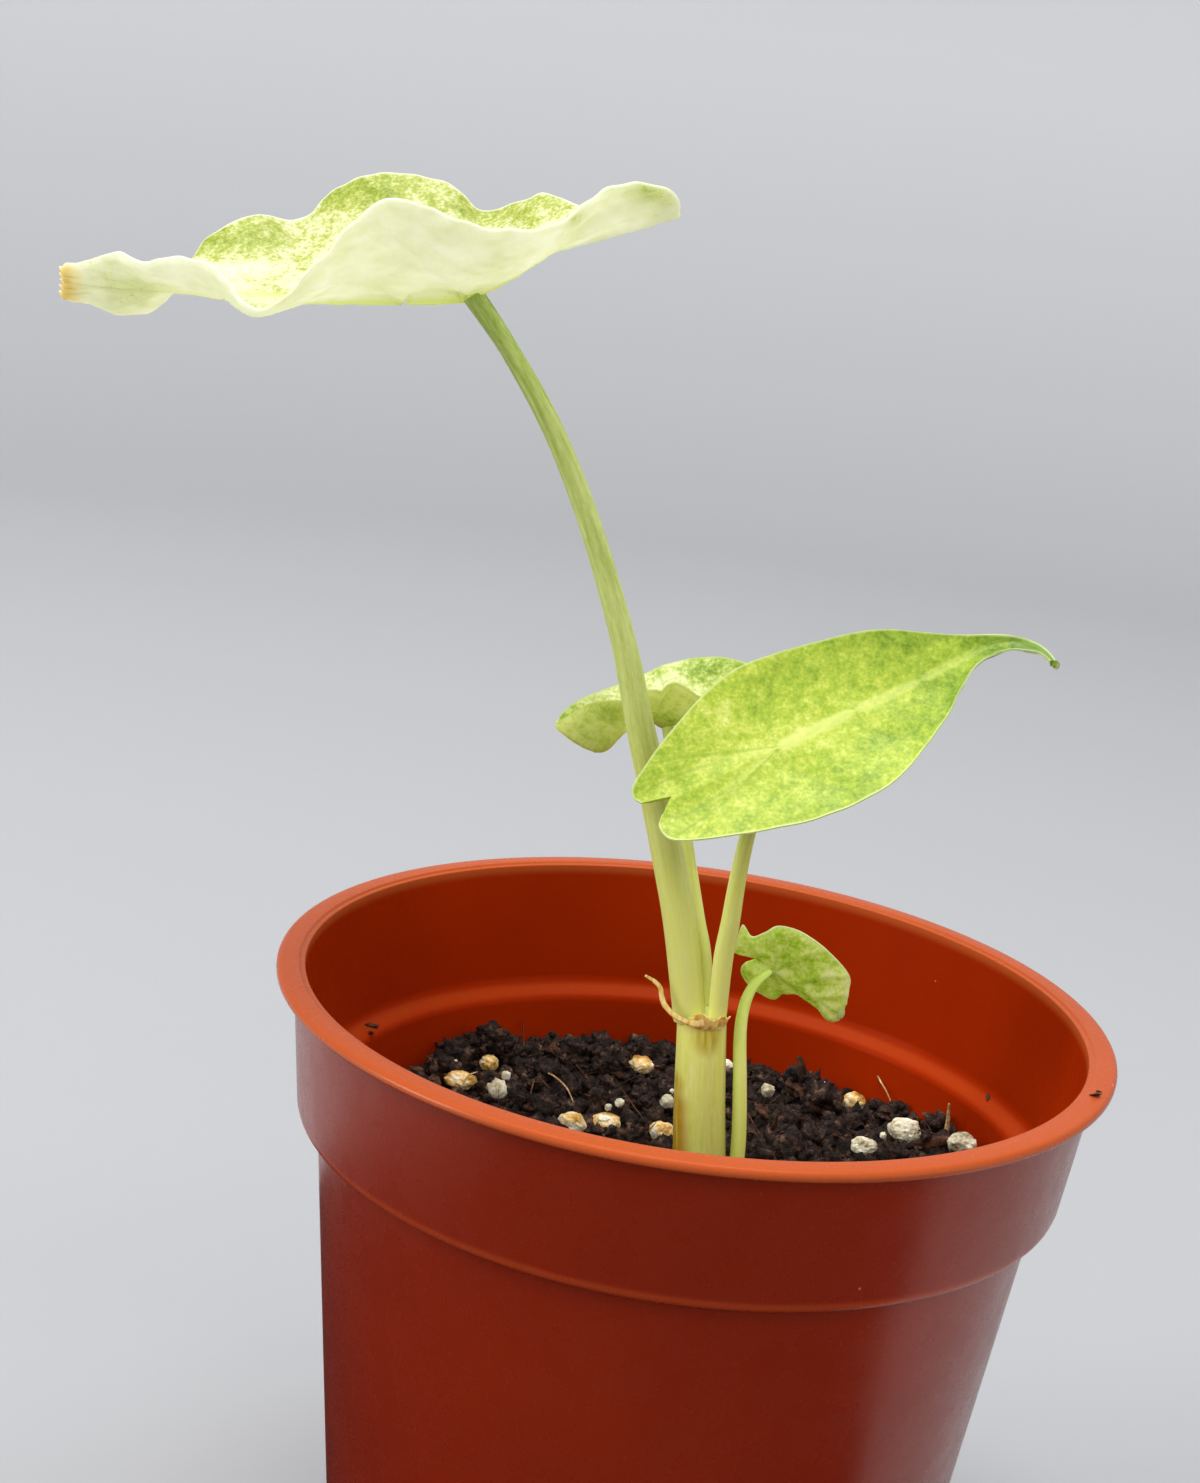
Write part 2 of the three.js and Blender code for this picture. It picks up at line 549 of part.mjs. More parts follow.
function driedSheath() {
  const ring = (i, j, radius) => {
    const turn = THREE.MathUtils.degToRad(THREE.MathUtils.lerp(STRIP_ARC.from, STRIP_ARC.to, i / STRIP_ROWS));
    const flared = radius + STRIP_FLARE * j;
    const height = STRIP_FOOT + j * (STRIP_HEIGHT + STRIP_RAGGED * Math.sin(i * 2.3));
    const x = STRIP_CENTRE.x + Math.cos(turn) * flared;
    const y = STRIP_CENTRE.y + Math.sin(turn) * flared;
    return new THREE.Vector3(x, y, height);
  };
  const outer = (i, j) => ring(i, j, STRIP_RADIUS + STRIP_THICKNESS);
  const inner = (i, j) => ring(i, j, STRIP_RADIUS);
  const strip = toSolid(sheet(STRIP_ROWS, 2, outer, inner));
  return toGeometry(strip.add(toSolid(stalk(CURL))));
}

// The whole plant in its pot.
const plant = new THREE.Group();
plant.add(named('pot', pot(), COLOURS.pot, 0.4));
plant.add(named('soil', soil(), COLOURS.soil, 1));
plant.add(named('corm', toGeometry(corm()), COLOURS.corm, 0.8));
plant.add(named('sheathed_stem', stalk(STEM), COLOURS.sheath, 0.5));
plant.add(named('dried_sheath', driedSheath(), COLOURS.dried, 0.8));
plant.add(named('stalk_top', stalkUnder(TOP_STALK, TOP_LEAF), COLOURS.stalk, 0.5));
plant.add(named('stalk_middle', stalkUnder(MIDDLE_STALK, MIDDLE_LEAF), COLOURS.stalk, 0.5));
plant.add(named('stalk_back', stalkUnder(BACK_STALK, BACK_LEAF), COLOURS.stalk, 0.5));
plant.add(named('stalk_small', stalkUnder(SMALL_STALK, SMALL_LEAF), COLOURS.stalk, 0.5));
plant.add(named('blade_top', blade(TOP_LEAF), COLOURS.cream, 0.45));
plant.add(named('blade_middle', blade(MIDDLE_LEAF), COLOURS.green, 0.45));
plant.add(named('blade_back', blade(BACK_LEAF), COLOURS.green, 0.45));
plant.add(named('blade_small', blade(SMALL_LEAF), COLOURS.green, 0.45));
STONES.forEach((stone, index) => {
  const number = String(index + 1).padStart(2, '0');
  plant.add(named(`pumice_${number}`, toGeometry(stoneSolid(stone, index)), COLOURS[stone.tone], 0.9));
});

export default plant;
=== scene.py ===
# %% [markdown]
# # A young variegated alocasia in a moulded pot
#
# This lesson dresses a fixed frame. The frame holds every piece of the plant and its pot at its real
# place and size, as plain solids. Here each one gets its fine surface: the gloss of the moulded pot,
# crumbly peat with pumice in it, ribbed stalks, and leaves with waved margins, veins and green mottling.
# All sizes in this file are millimetres until a piece is finished, and then its mesh is scaled to metres.

# %% Load the fixed frame
import math
import random

import bmesh
import bpy
from mathutils import Matrix, Vector, kdtree, noise


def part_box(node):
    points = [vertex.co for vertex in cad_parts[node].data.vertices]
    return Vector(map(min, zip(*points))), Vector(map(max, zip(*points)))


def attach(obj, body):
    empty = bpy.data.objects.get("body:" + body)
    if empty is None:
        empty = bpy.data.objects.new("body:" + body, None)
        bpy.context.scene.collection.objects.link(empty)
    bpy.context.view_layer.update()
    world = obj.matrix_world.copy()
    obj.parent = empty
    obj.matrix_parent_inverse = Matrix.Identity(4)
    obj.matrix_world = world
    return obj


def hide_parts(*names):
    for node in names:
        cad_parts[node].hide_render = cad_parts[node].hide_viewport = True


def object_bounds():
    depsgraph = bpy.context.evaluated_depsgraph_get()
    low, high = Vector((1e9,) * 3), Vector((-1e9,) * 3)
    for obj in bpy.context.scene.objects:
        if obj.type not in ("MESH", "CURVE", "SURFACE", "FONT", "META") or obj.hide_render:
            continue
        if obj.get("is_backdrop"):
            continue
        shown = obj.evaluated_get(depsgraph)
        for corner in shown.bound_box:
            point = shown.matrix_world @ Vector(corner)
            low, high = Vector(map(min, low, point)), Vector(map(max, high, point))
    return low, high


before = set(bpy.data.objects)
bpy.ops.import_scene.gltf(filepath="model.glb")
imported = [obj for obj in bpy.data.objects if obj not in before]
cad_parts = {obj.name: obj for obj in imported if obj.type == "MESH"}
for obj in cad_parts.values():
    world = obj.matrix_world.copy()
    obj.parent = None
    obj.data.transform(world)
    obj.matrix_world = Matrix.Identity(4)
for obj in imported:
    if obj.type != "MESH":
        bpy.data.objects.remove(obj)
cad_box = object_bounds()
MM = 0.001
print("frame:", len(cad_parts), "nodes")

# %% [markdown]
# ## The camera
#
# A handheld camera looked down into the pot from close by, turned a few degrees about its own axis, so the
# pot seems to lean. The lens and the three angles were fitted to the ellipses of the pot's rim and steps.
# The camera has no depth of field, because other views move it round the plant.

# %% Place the camera
PICTURE_HEIGHT = 1483
FOCAL_PIXELS = 2400
SENSOR = 36.0
CAMERA_PLACE = Vector((0, -243.85, 169.07))
CAMERA_YAW = -0.0562
CAMERA_PITCH = -0.2537
CAMERA_ROLL = 0.1257


def camera_turn(yaw, pitch, roll):
    """Rotation matrix whose columns are the camera's right, up and backward directions."""
    forward = Vector((
        math.sin(yaw) * math.cos(pitch),
        math.cos(yaw) * math.cos(pitch),
        math.sin(pitch),
    ))
    level = Vector((math.cos(yaw), -math.sin(yaw), 0))
    upward = level.cross(forward)
    right = level * math.cos(roll) + upward * math.sin(roll)
    up = upward * math.cos(roll) - level * math.sin(roll)
    return Matrix((right, up, -forward)).transposed()


camera_data = bpy.data.cameras.new("camera")
camera_data.lens = FOCAL_PIXELS * SENSOR / PICTURE_HEIGHT
camera_data.sensor_width = SENSOR
camera_data.clip_start = 0.01
camera = bpy.data.objects.new("camera", camera_data)
camera.matrix_world = (
    Matrix.Translation(CAMERA_PLACE * MM)
    @ camera_turn(CAMERA_YAW, CAMERA_PITCH, CAMERA_ROLL).to_4x4()
)
bpy.context.scene.collection.objects.link(camera)
bpy.context.scene.camera = camera
bpy.context.scene.view_settings.view_transform = "Standard"
print("camera lens:", round(camera_data.lens, 1), "mm")

# %% [markdown]
# ## Tools for colour, shader nodes and pieces
#
# Colours are written as sRGB hex values, the way a colour picker shows them, and Blender's shaders need
# them linear. One function adds a node with its settings and links. Another finishes a mesh: it scales the
# millimetres to metres, keeps the object at the origin, and makes it ride on the frame's only body.


# %% Colours and shader nodes
def linear(hex_colour):
    """Linear colour with alpha from an sRGB hex value."""
    def channel(start):
        value = int(hex_colour[start:start + 2], 16) / 255
        return value / 12.92 if value <= 0.04045 else ((value + 0.055) / 1.055) ** 2.4
    return (channel(0), channel(2), channel(4), 1.0)


def socket(sockets, key):
    """An input or output by its number, or by its name among those in use."""
    if isinstance(key, int):
        return sockets[key]
    return next(s for s in sockets if s.name == key and s.enabled)


def add_node(material, kind, inputs=None, stops=None, **settings):
    """Adds one shader node. An input is a value, a node (its first output in use) or an output socket."""
    tree = material.node_tree
    node = tree.nodes.new("ShaderNode" + kind)
    for name, value in settings.items():
        setattr(node, name, value)
    for key, value in (inputs or {}).items():
        target = socket(node.inputs, key)
        if isinstance(value, bpy.types.Node):
            value = next(s for s in value.outputs if s.enabled)
        if isinstance(value, bpy.types.NodeSocket):
            tree.links.new(value, target)
        else:
            target.default_value = value
    if stops:
        elements = node.color_ramp.elements
        elements[0].position, elements[0].color = stops[0][0], linear(stops[0][1])
        elements[1].position, elements[1].color = stops[-1][0], linear(stops[-1][1])
        for place, colour in stops[1:-1]:
            elements.new(place).color = linear(colour)
    return node


def new_material(name):
    """An empty node material."""
    material = bpy.data.materials.new(name)
    material.use_nodes = True
    material.node_tree.nodes.clear()
    return material


def close_material(material, shader):
    """Gives a material its output."""
    add_node(material, "OutputMaterial", {"Surface": shader})
    return material


def per_mm(size):
    """Texture scale whose features are about this many millimetres, on coordinates in metres."""
    return 1 / (size * MM)


# %% Meshes and pieces
WELD = 0.001


def to_mesh(bm, name):
    """Hands a bmesh over to a new mesh."""
    mesh = bpy.data.meshes.new(name)
    bm.to_mesh(mesh)
    bm.free()
    return mesh


def to_object(bm, name, materials=()):
    """Turns a bmesh in millimetres into an object in metres."""
    bmesh.ops.scale(bm, vec=(MM, MM, MM), verts=bm.verts)
    mesh = to_mesh(bm, name)
    for material in materials:
        mesh.materials.append(material)
    thing = bpy.data.objects.new(name, mesh)
    bpy.context.scene.collection.objects.link(thing)
    return thing


def finish_piece(bm, name, materials, replaces=(), sharp_angle=None):
    """Turns a bmesh in millimetres into a piece in metres that rides on the frame."""
    piece = to_object(bm, name, materials)
    mesh = piece.data
    mesh.shade_smooth()
    if sharp_angle:
        mesh.set_sharp_from_angle(angle=math.radians(sharp_angle))
    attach(piece, "root")
    if replaces:
        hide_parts(*replaces)
    print(f"{name}: {sum(len(p.vertices) - 2 for p in mesh.polygons)} triangles")
    return piece


def lay_chain(bm, profile):
    """Lays a chain of edges through points given as (radius, height)."""
    chain = [bm.verts.new((radius, 0, z)) for radius, z in profile]
    for pair in zip(chain, chain[1:]):
        bm.edges.new(pair)
    return chain


def spin(bm, steps):
    """Turns everything in the bmesh about the z axis into a closed skin."""
    bmesh.ops.spin(
        bm, geom=bm.verts[:] + bm.edges[:], axis=(0, 0, 1), cent=(0, 0, 0),
        steps=steps, angle=2 * math.pi, use_merge=True,
    )
    bmesh.ops.remove_doubles(bm, verts=bm.verts, dist=WELD)
    bmesh.ops.recalc_face_normals(bm, faces=bm.faces)


def thicken(bm, depth):
    """Gives an open sheet a lower side, depth(vertex) below the upper one. Returns the upper vertices."""
    bm.normal_update()
    lower = [(v, v.normal.copy()) for v in bm.verts]
    made = bmesh.ops.extrude_face_region(bm, geom=bm.faces[:])
    for v, normal in lower:
        v.co -= normal * depth(v)
    bmesh.ops.recalc_face_normals(bm, faces=bm.faces)
    return {item for item in made["geom"] if isinstance(item, bmesh.types.BMVert)}


# %% Curves and seeded noise
def curve_point(points, t):
    """Point of a smooth curve through the points, with equal shares of t between neighbours."""
    place = min(max(t, 0), 1) * (len(points) - 1)
    index = min(int(place), len(points) - 2)
    part = place - index
    here, after = Vector(points[index]), Vector(points[index + 1])
    before = Vector(points[index - 1]) if index > 0 else 2 * here - after
    beyond = Vector(points[index + 2]) if index + 2 < len(points) else 2 * after - here
    return 0.5 * (
        2 * here + (after - before) * part
        + (2 * before - 5 * here + 4 * after - beyond) * part ** 2
        + (3 * here - before - 3 * after + beyond) * part ** 3
    )


def curve_direction(points, t):
    """Unit direction of that curve."""
    step = 0.002
    return (curve_point(points, t + step) - curve_point(points, t - step)).normalized()


def along(values, t):
    """Value at t of a list of evenly spaced numbers."""
    place = min(max(t, 0), 1) * (len(values) - 1)
    index = min(int(place), len(values) - 2)
    return values[index] + (values[index + 1] - values[index]) * (place - index)


def ease(value, low, high):
    """Smooth step from 0 at low to 1 at high."""
    share = min(max((value - low) / (high - low), 0), 1)
    return share * share * (3 - 2 * share)


# %% [markdown]
# ## The studio
#
# The plant stands on a pale floor that sweeps up into a round backdrop, so every view has the same quiet
# background. A large softbox hangs overhead, weaker panels stand at the left and the right, and a fill shines
# from the front. In such a tent the glossy pot would mirror white all over, so a dark cloth lies round it
# and rises behind the camera, and a dark mat lies at the left: painted shade, dark sheets that stand in for
# shaded surroundings. No camera sees them and they throw no shadow, but the gloss of the pot mirrors them.

# %% Floor and backdrop
SWEEP_RADIUS = 1100
SWEEP_CURVE = 350
SWEEP_HEIGHT = 1900
SWEEP_PARTS = 12
# The wall of the paper is painted paler than the floor, up to a height of PAPER_RISE millimetres: painted
# light.
PAPER_LOW = "9b9c9e"
PAPER_PAINTED_LIGHT_HIGH = "b4b5b7"
PAPER_RISE = 220


def sweep_profile():
    """The floor and the wall with a round corner between them."""
    profile = [(0, 0), (SWEEP_RADIUS - SWEEP_CURVE, 0)]
    for k in range(1, SWEEP_PARTS + 1):
        turn = k / SWEEP_PARTS * math.pi / 2
        radius = SWEEP_RADIUS - SWEEP_CURVE + math.sin(turn) * SWEEP_CURVE
        profile.append((radius, SWEEP_CURVE * (1 - math.cos(turn))))
    return profile + [(SWEEP_RADIUS, SWEEP_HEIGHT)]


def studio_sweep():
    """A floor disc that curves up into a round wall, spun from its profile."""
    bm = bmesh.new()
    lay_chain(bm, sweep_profile())
    spin(bm, 96)
    return bm


def paper_material():
    """Matt studio paper, painted paler where it rises: painted light that makes up for the less light falling
    there.
    """
    material = new_material("matt studio paper")
    height = add_node(material, "SeparateXYZ", {
        "Vector": add_node(material, "TexCoord").outputs["Object"],
    }).outputs["Z"]
    share = add_node(material, "MapRange", {"Value": height, "From Max": PAPER_RISE * MM})
    colour = add_node(material, "ValToRGB", {"Fac": share}, stops=[(0, PAPER_LOW), (1, PAPER_PAINTED_LIGHT_HIGH)])
    shader = add_node(material, "BsdfPrincipled", {
        "Base Color": colour, "Roughness": 0.9, "Specular IOR Level": 0.1,
    })
    return close_material(material, shader)


sweep = to_object(studio_sweep(), "studio_sweep", [paper_material()])
sweep.data.shade_smooth()
sweep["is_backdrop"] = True
print("sweep:", len(sweep.data.polygons), "faces")


# %% Softboxes, sky light and the dark cloths
def softbox(name, place, target, size, watts, mirrored):
    """A rectangular soft light that shines from its place towards a target. Gloss may mirror it or not."""
    data = bpy.data.lights.new(name, "AREA")
    data.shape = "RECTANGLE"
    data.size, data.size_y = size[0] * MM, size[1] * MM
    data.energy = watts
    light = bpy.data.objects.new(name, data)
    light.location = Vector(place) * MM
    light.rotation_mode = "QUATERNION"
    light.rotation_quaternion = (Vector(target) - Vector(place)).to_track_quat("-Z", "Y")
    light.visible_camera = False
    light.visible_glossy = mirrored
    bpy.context.scene.collection.objects.link(light)


for name, place, aim, size, watts, mirrored in [
    ("overhead softbox", (-100, 150, 1350), (0, 0, 60), (1000, 900), 22.6, True),
    ("left panel", (-860, -330, 520), (0, 0, 60), (420, 700), 7.6, True),
    ("right panel", (800, -420, 520), (0, 0, 60), (400, 600), 2.4, True),
    ("front fill", (100, -700, 640), (0, 0, 90), (600, 450), 2.6, False),
]:
    softbox(name, place, aim, size, watts, mirrored)

world = bpy.data.worlds.new("soft sky")
world.use_nodes = True
sky = world.node_tree.nodes["Background"]
sky.inputs["Color"].default_value = linear("f8f8fc")
sky.inputs["Strength"].default_value = 0.23
bpy.context.scene.world = world

CLOTH_REACH = 520
CLOTH_TOP = 1100
CLOTH_ARC = (-46, 70)
CLOTH_HOLE = 33
CLOTH_LIFT = 0.6
MAT_REACH = 118
MAT_ARC = (-190, -46)


def painted_shade_cloth(name, arc, reach, height):
    """A dark sheet of painted shade that lies round the pot and may then rise behind the camera. No view
    shows it.
    """
    bm = bmesh.new()
    bmesh.ops.create_grid(bm, x_segments=30, y_segments=24, size=1)
    for v in bm.verts:
        turn = math.radians(-90 + arc[0] + (v.co.x + 1) / 2 * (arc[1] - arc[0]))
        run = (v.co.y + 1) / 2 * (reach + height)
        away = min(max(run, CLOTH_HOLE), reach)
        rise = max(run - reach, 0) + CLOTH_LIFT
        v.co = Vector((math.cos(turn) * away, math.sin(turn) * away, rise))
    cloth = to_object(bm, name, [felt])
    cloth.visible_camera = False
    cloth.visible_diffuse = False
    cloth.visible_transmission = False
    cloth.visible_shadow = False
    cloth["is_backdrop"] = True


def black_felt():
    """Felt that swallows nearly all light."""
    material = new_material("black felt")
    weave = add_node(material, "TexNoise", {"Scale": per_mm(2)})
    colour = add_node(material, "ValToRGB", {"Fac": weave}, stops=[(0, "050505"), (1, "0c0c0c")])
    shader = add_node(material, "BsdfPrincipled", {"Base Color": colour, "Roughness": 1.0})
    return close_material(material, shader)


felt = black_felt()
# Both sheets are painted shade: dark felt that only the gloss of the pot mirrors.
painted_shade_cloth("painted_shade_cloth", CLOTH_ARC, CLOTH_REACH, CLOTH_TOP)
painted_shade_cloth("painted_shade_mat", MAT_ARC, MAT_REACH, 0)

# %% [markdown]
# ## The pot
#
# The real pot is injection moulded from polypropylene coloured terracotta. It has thin walls with a draft,
# a wide collar with a step inside and out, and a flat rolled rim. A round shape like this is one profile
# turned about its axis: the corners of the profile are rounded with a small bevel first, then spun. The
# eight drain holes are cut with a Boolean, because they cross the floor at right angles to the spin.

# %% Pot sizes
RIM_RADIUS = 45
POT_HEIGHT = 80
RIM_INNER_RADIUS = 41.9
RIM_THICKNESS = 1.1
COLLAR_TOP_RADIUS = 43.2
COLLAR_DRAFT = 0.107
COLLAR_DEPTH = 16.2
BODY_TOP_RADIUS = 41.04
BODY_DRAFT = 0.111
WALL = 0.95
FLOOR = 1.3
DRAIN_HOLES = 8
DRAIN_RADIUS = 2.4
DRAIN_CIRCLE_RADIUS = 25


def collar_radius(z):
    return COLLAR_TOP_RADIUS - COLLAR_DRAFT * (POT_HEIGHT - z)


def body_radius(z):
    return BODY_TOP_RADIUS - BODY_DRAFT * (POT_HEIGHT - z)


def pot_profile():
    """Corners of the wall's section as radius, height and the size of their rounding."""
    under = POT_HEIGHT - RIM_THICKNESS
    step = POT_HEIGHT - COLLAR_DEPTH
    return [
        (0, 0, 0), (body_radius(0) - 0.2, 0, 0.7), (body_radius(step), step - 0.3, 0.3),
        (collar_radius(step) - 0.1, step - 0.1, 1.1), (collar_radius(under), under, 0.35),
        (RIM_RADIUS, under, 0.45), (RIM_RADIUS - 0.1, POT_HEIGHT - 0.05, 0.5),
        (RIM_INNER_RADIUS + 0.75, POT_HEIGHT, 0.12), (RIM_INNER_RADIUS + 0.55, POT_HEIGHT - 0.22, 0.1),
        (RIM_INNER_RADIUS + 0.05, POT_HEIGHT - 0.2, 0.15),
        (collar_radius(step + 1.2) - WALL, step + 1.2, 0.9), (body_radius(step) - WALL, step + 0.1, 0.6),
        (body_radius(FLOOR) - WALL, FLOOR, 0.8), (0, FLOOR, 0),
    ]


# %% Spin the pot and cut its drain holes
def pot_shell():
    """The closed wall of the pot, in millimetres."""
    bm = bmesh.new()
    corners = lay_chain(bm, [(radius, z) for radius, z, _ in pot_profile()])
    for corner, (_, _, rounding) in zip(corners, pot_profile()):
        if rounding:
            bmesh.ops.bevel(
                bm, geom=[corner], offset=rounding, offset_type="OFFSET", affect="VERTICES",
                segments=4, profile=0.5, material=-1,
            )
    spin(bm, 180)
    return bm


def drain_cutters():
    """Eight upright pegs through the floor."""
    bm = bmesh.new()
    for k in range(DRAIN_HOLES):
        turn = (k + 0.5) / DRAIN_HOLES * 2 * math.pi
        place = Vector((math.cos(turn), math.sin(turn), 0)) * DRAIN_CIRCLE_RADIUS
        bmesh.ops.create_cone(
            bm, cap_ends=True, segments=32, radius1=DRAIN_RADIUS, radius2=DRAIN_RADIUS,
            depth=6 * FLOOR, matrix=Matrix.Translation(place),
        )
    return to_object(bm, "drain_cutters")


def apply_modifiers(piece):
    """Replaces the piece's mesh by the mesh with its modifiers worked in."""
    depsgraph = bpy.context.evaluated_depsgraph_get()
    made = bpy.data.meshes.new_from_object(piece.evaluated_get(depsgraph))
    piece.modifiers.clear()
    piece.data = made


# %% [markdown]
# ### Moulded polypropylene
#
# The plastic is dyed right through, a deep red orange, and comes out of a polished mould, so it is satin
# and mirrors soft boxes of light at its sides. Polypropylene has an IOR of about 1.49. What tells the eye
# that it is moulded and used: the walls bend reflections a little, and fine scratches and dust break the
# gloss. The thin rim is painted a shade lighter: painted light for the light that passes into its edge.

# %% Pot material
# The pot is one plastic dyed right through, but the inside gets a lighter copy of the outside tones: painted
# light inside, painted shade outside.
OUTSIDE_TONES = ("701702", "7a1c04")
INSIDE_PAINTED_LIGHT_TONES = ("851f02", "932602")
# The next two tones are painted light: a paler rim edge, and a highlight along the rounded step.
RIM_PAINTED_LIGHT_TONE = "a0461f"
STEP_HIGHLIGHT_TONE = "a8421a"
STEP_HEIGHT = 64.5
GLOSS_TINT = "ffc8ac"
DUST_TONE = "d9a58c"


def moulded_plastic(name, tones, mirror):
    """Satin terracotta polypropylene: soft waves of about 9 mm, painted light on the rim, a painted highlight
    at the step and specks of dust.
    """
    material = new_material(name)
    place = add_node(material, "TexCoord").outputs["Object"]
    tone = add_node(material, "TexNoise", {"Vector": place, "Scale": per_mm(26), "Detail": 2})
    colour = add_node(material, "ValToRGB", {"Fac": tone}, stops=[(0.3, tones[0]), (0.75, tones[1])])
    height = add_node(material, "SeparateXYZ", {"Vector": place}).outputs["Z"]
    # The top of the rim is painted lighter over its last 1.6 mm: painted light for the light that passes into
    # the thin edge.
    rim_light_share = add_node(material, "MapRange", {
        "Value": height, "From Min": (POT_HEIGHT - 1.6) * MM, "From Max": (POT_HEIGHT - 0.4) * MM,
    }, interpolation_type="SMOOTHSTEP")
    with_rim_light = add_node(material, "Mix", {
        "Factor": rim_light_share, "A": colour, "B": linear(RIM_PAINTED_LIGHT_TONE),
    }, data_type="RGBA")
    # A narrow band at the height of the step, inside and out, is painted a lighter orange: a painted
    # highlight.
    from_step = add_node(material, "Math", {0: height, 1: STEP_HEIGHT * MM}, operation="SUBTRACT")
    step_highlight_share = add_node(material, "MapRange", {
        "Value": add_node(material, "Math", {0: from_step}, operation="ABSOLUTE"),
        "From Min": 0.1 * MM, "From Max": 0.8 * MM, "To Min": 0.4, "To Max": 0.0,
    }, interpolation_type="SMOOTHSTEP")
    with_step_highlight = add_node(material, "Mix", {
        "Factor": step_highlight_share, "A": with_rim_light, "B": linear(STEP_HIGHLIGHT_TONE),
    }, data_type="RGBA")
    dust = add_node(material, "TexVoronoi", {"Vector": place, "Scale": per_mm(2.6)})
    speck = add_node(material, "MapRange", {
        "Value": dust.outputs["Distance"], "From Min": 0.035, "From Max": 0.06, "To Min": 0.5, "To Max": 0.0,
    })
    some = add_node(material, "TexNoise", {"Vector": place, "Scale": per_mm(6)})
    where = add_node(material, "MapRange", {"Value": some, "From Min": 0.62, "From Max": 0.68})
    dusty = add_node(material, "Math", {0: speck, 1: where}, operation="MULTIPLY")
    dusted = add_node(material, "Mix", {
        "Factor": dusty, "A": with_step_highlight, "B": linear(DUST_TONE),
    }, data_type="RGBA")
    haze = add_node(material, "TexNoise", {
        "Vector": place, "Scale": per_mm(4), "Detail": 5, "Roughness": 0.6,
    })
    rough = add_node(material, "MapRange", {
        "Value": haze, "From Min": 0.35, "From Max": 0.7, "To Min": 0.24, "To Max": 0.32,
    })
    wave = add_node(material, "TexNoise", {"Vector": place, "Scale": per_mm(9), "Detail": 1})
    bend = add_node(material, "Bump", {"Height": wave, "Strength": 0.2, "Distance": 0.1 * MM})
    grain = add_node(material, "TexNoise", {"Vector": place, "Scale": per_mm(0.5), "Detail": 2})
    skin = add_node(material, "Bump", {
        "Height": grain, "Strength": 0.08, "Distance": 0.02 * MM, "Normal": bend,
    })
    shader = add_node(material, "BsdfPrincipled", {
        "Base Color": dusted, "Roughness": rough, "IOR": 1.49, "Specular IOR Level": mirror,
        "Specular Tint": linear(GLOSS_TINT), "Normal": skin,
    })
    return close_material(material, shader)


def mark_inside(mesh):
    """Gives the faces that look at the axis the second material, and the top of the rim the third."""
    for face in mesh.polygons:
        inward = face.center.x * face.normal.x + face.center.y * face.normal.y < 0
        on_rim = face.normal.z > 0.6 and face.center.z > (POT_HEIGHT - RIM_THICKNESS) * MM
        face.material_index = 2 if on_rim else (1 if inward else 0)


# The second material takes the lighter inside tones: painted light.
plastics = [
    moulded_plastic("polypropylene terracotta outside", OUTSIDE_TONES, 0.6),
    moulded_plastic("polypropylene terracotta inside", INSIDE_PAINTED_LIGHT_TONES, 0.02),
    moulded_plastic("polypropylene terracotta rim", OUTSIDE_TONES, 0.1),
]
pot = finish_piece(pot_shell(), "moulded_pot", plastics, ["pot"], sharp_angle=40)
cutter = drain_cutters()
cut = pot.modifiers.new("drain holes", "BOOLEAN")
cut.operation, cut.object, cut.solver = "DIFFERENCE", cutter, "EXACT"
apply_modifiers(pot)
bpy.data.objects.remove(cutter)
mark_inside(pot.data)
pot.data.shade_smooth()
pot.data.set_sharp_from_angle(angle=math.radians(40))
print("pot:", len(pot.data.polygons), "faces after the drain holes")

# %% [markdown]
# ## The leaves
#
# An alocasia blade is a thin, tough sheet on a stalk that meets it near its notch. Three curves hold each
# blade: the midrib, and a left and a right margin that carry the waves. A grid is laid between them, and
# then gets what the real blade has: a slight belly on each side, side veins that sink into the upper side
# and stand out below, tissue that cushions up between the veins, and a ruffle along the margin. The sheet
# is then extruded to its thickness, so that both sides can have their own finish.

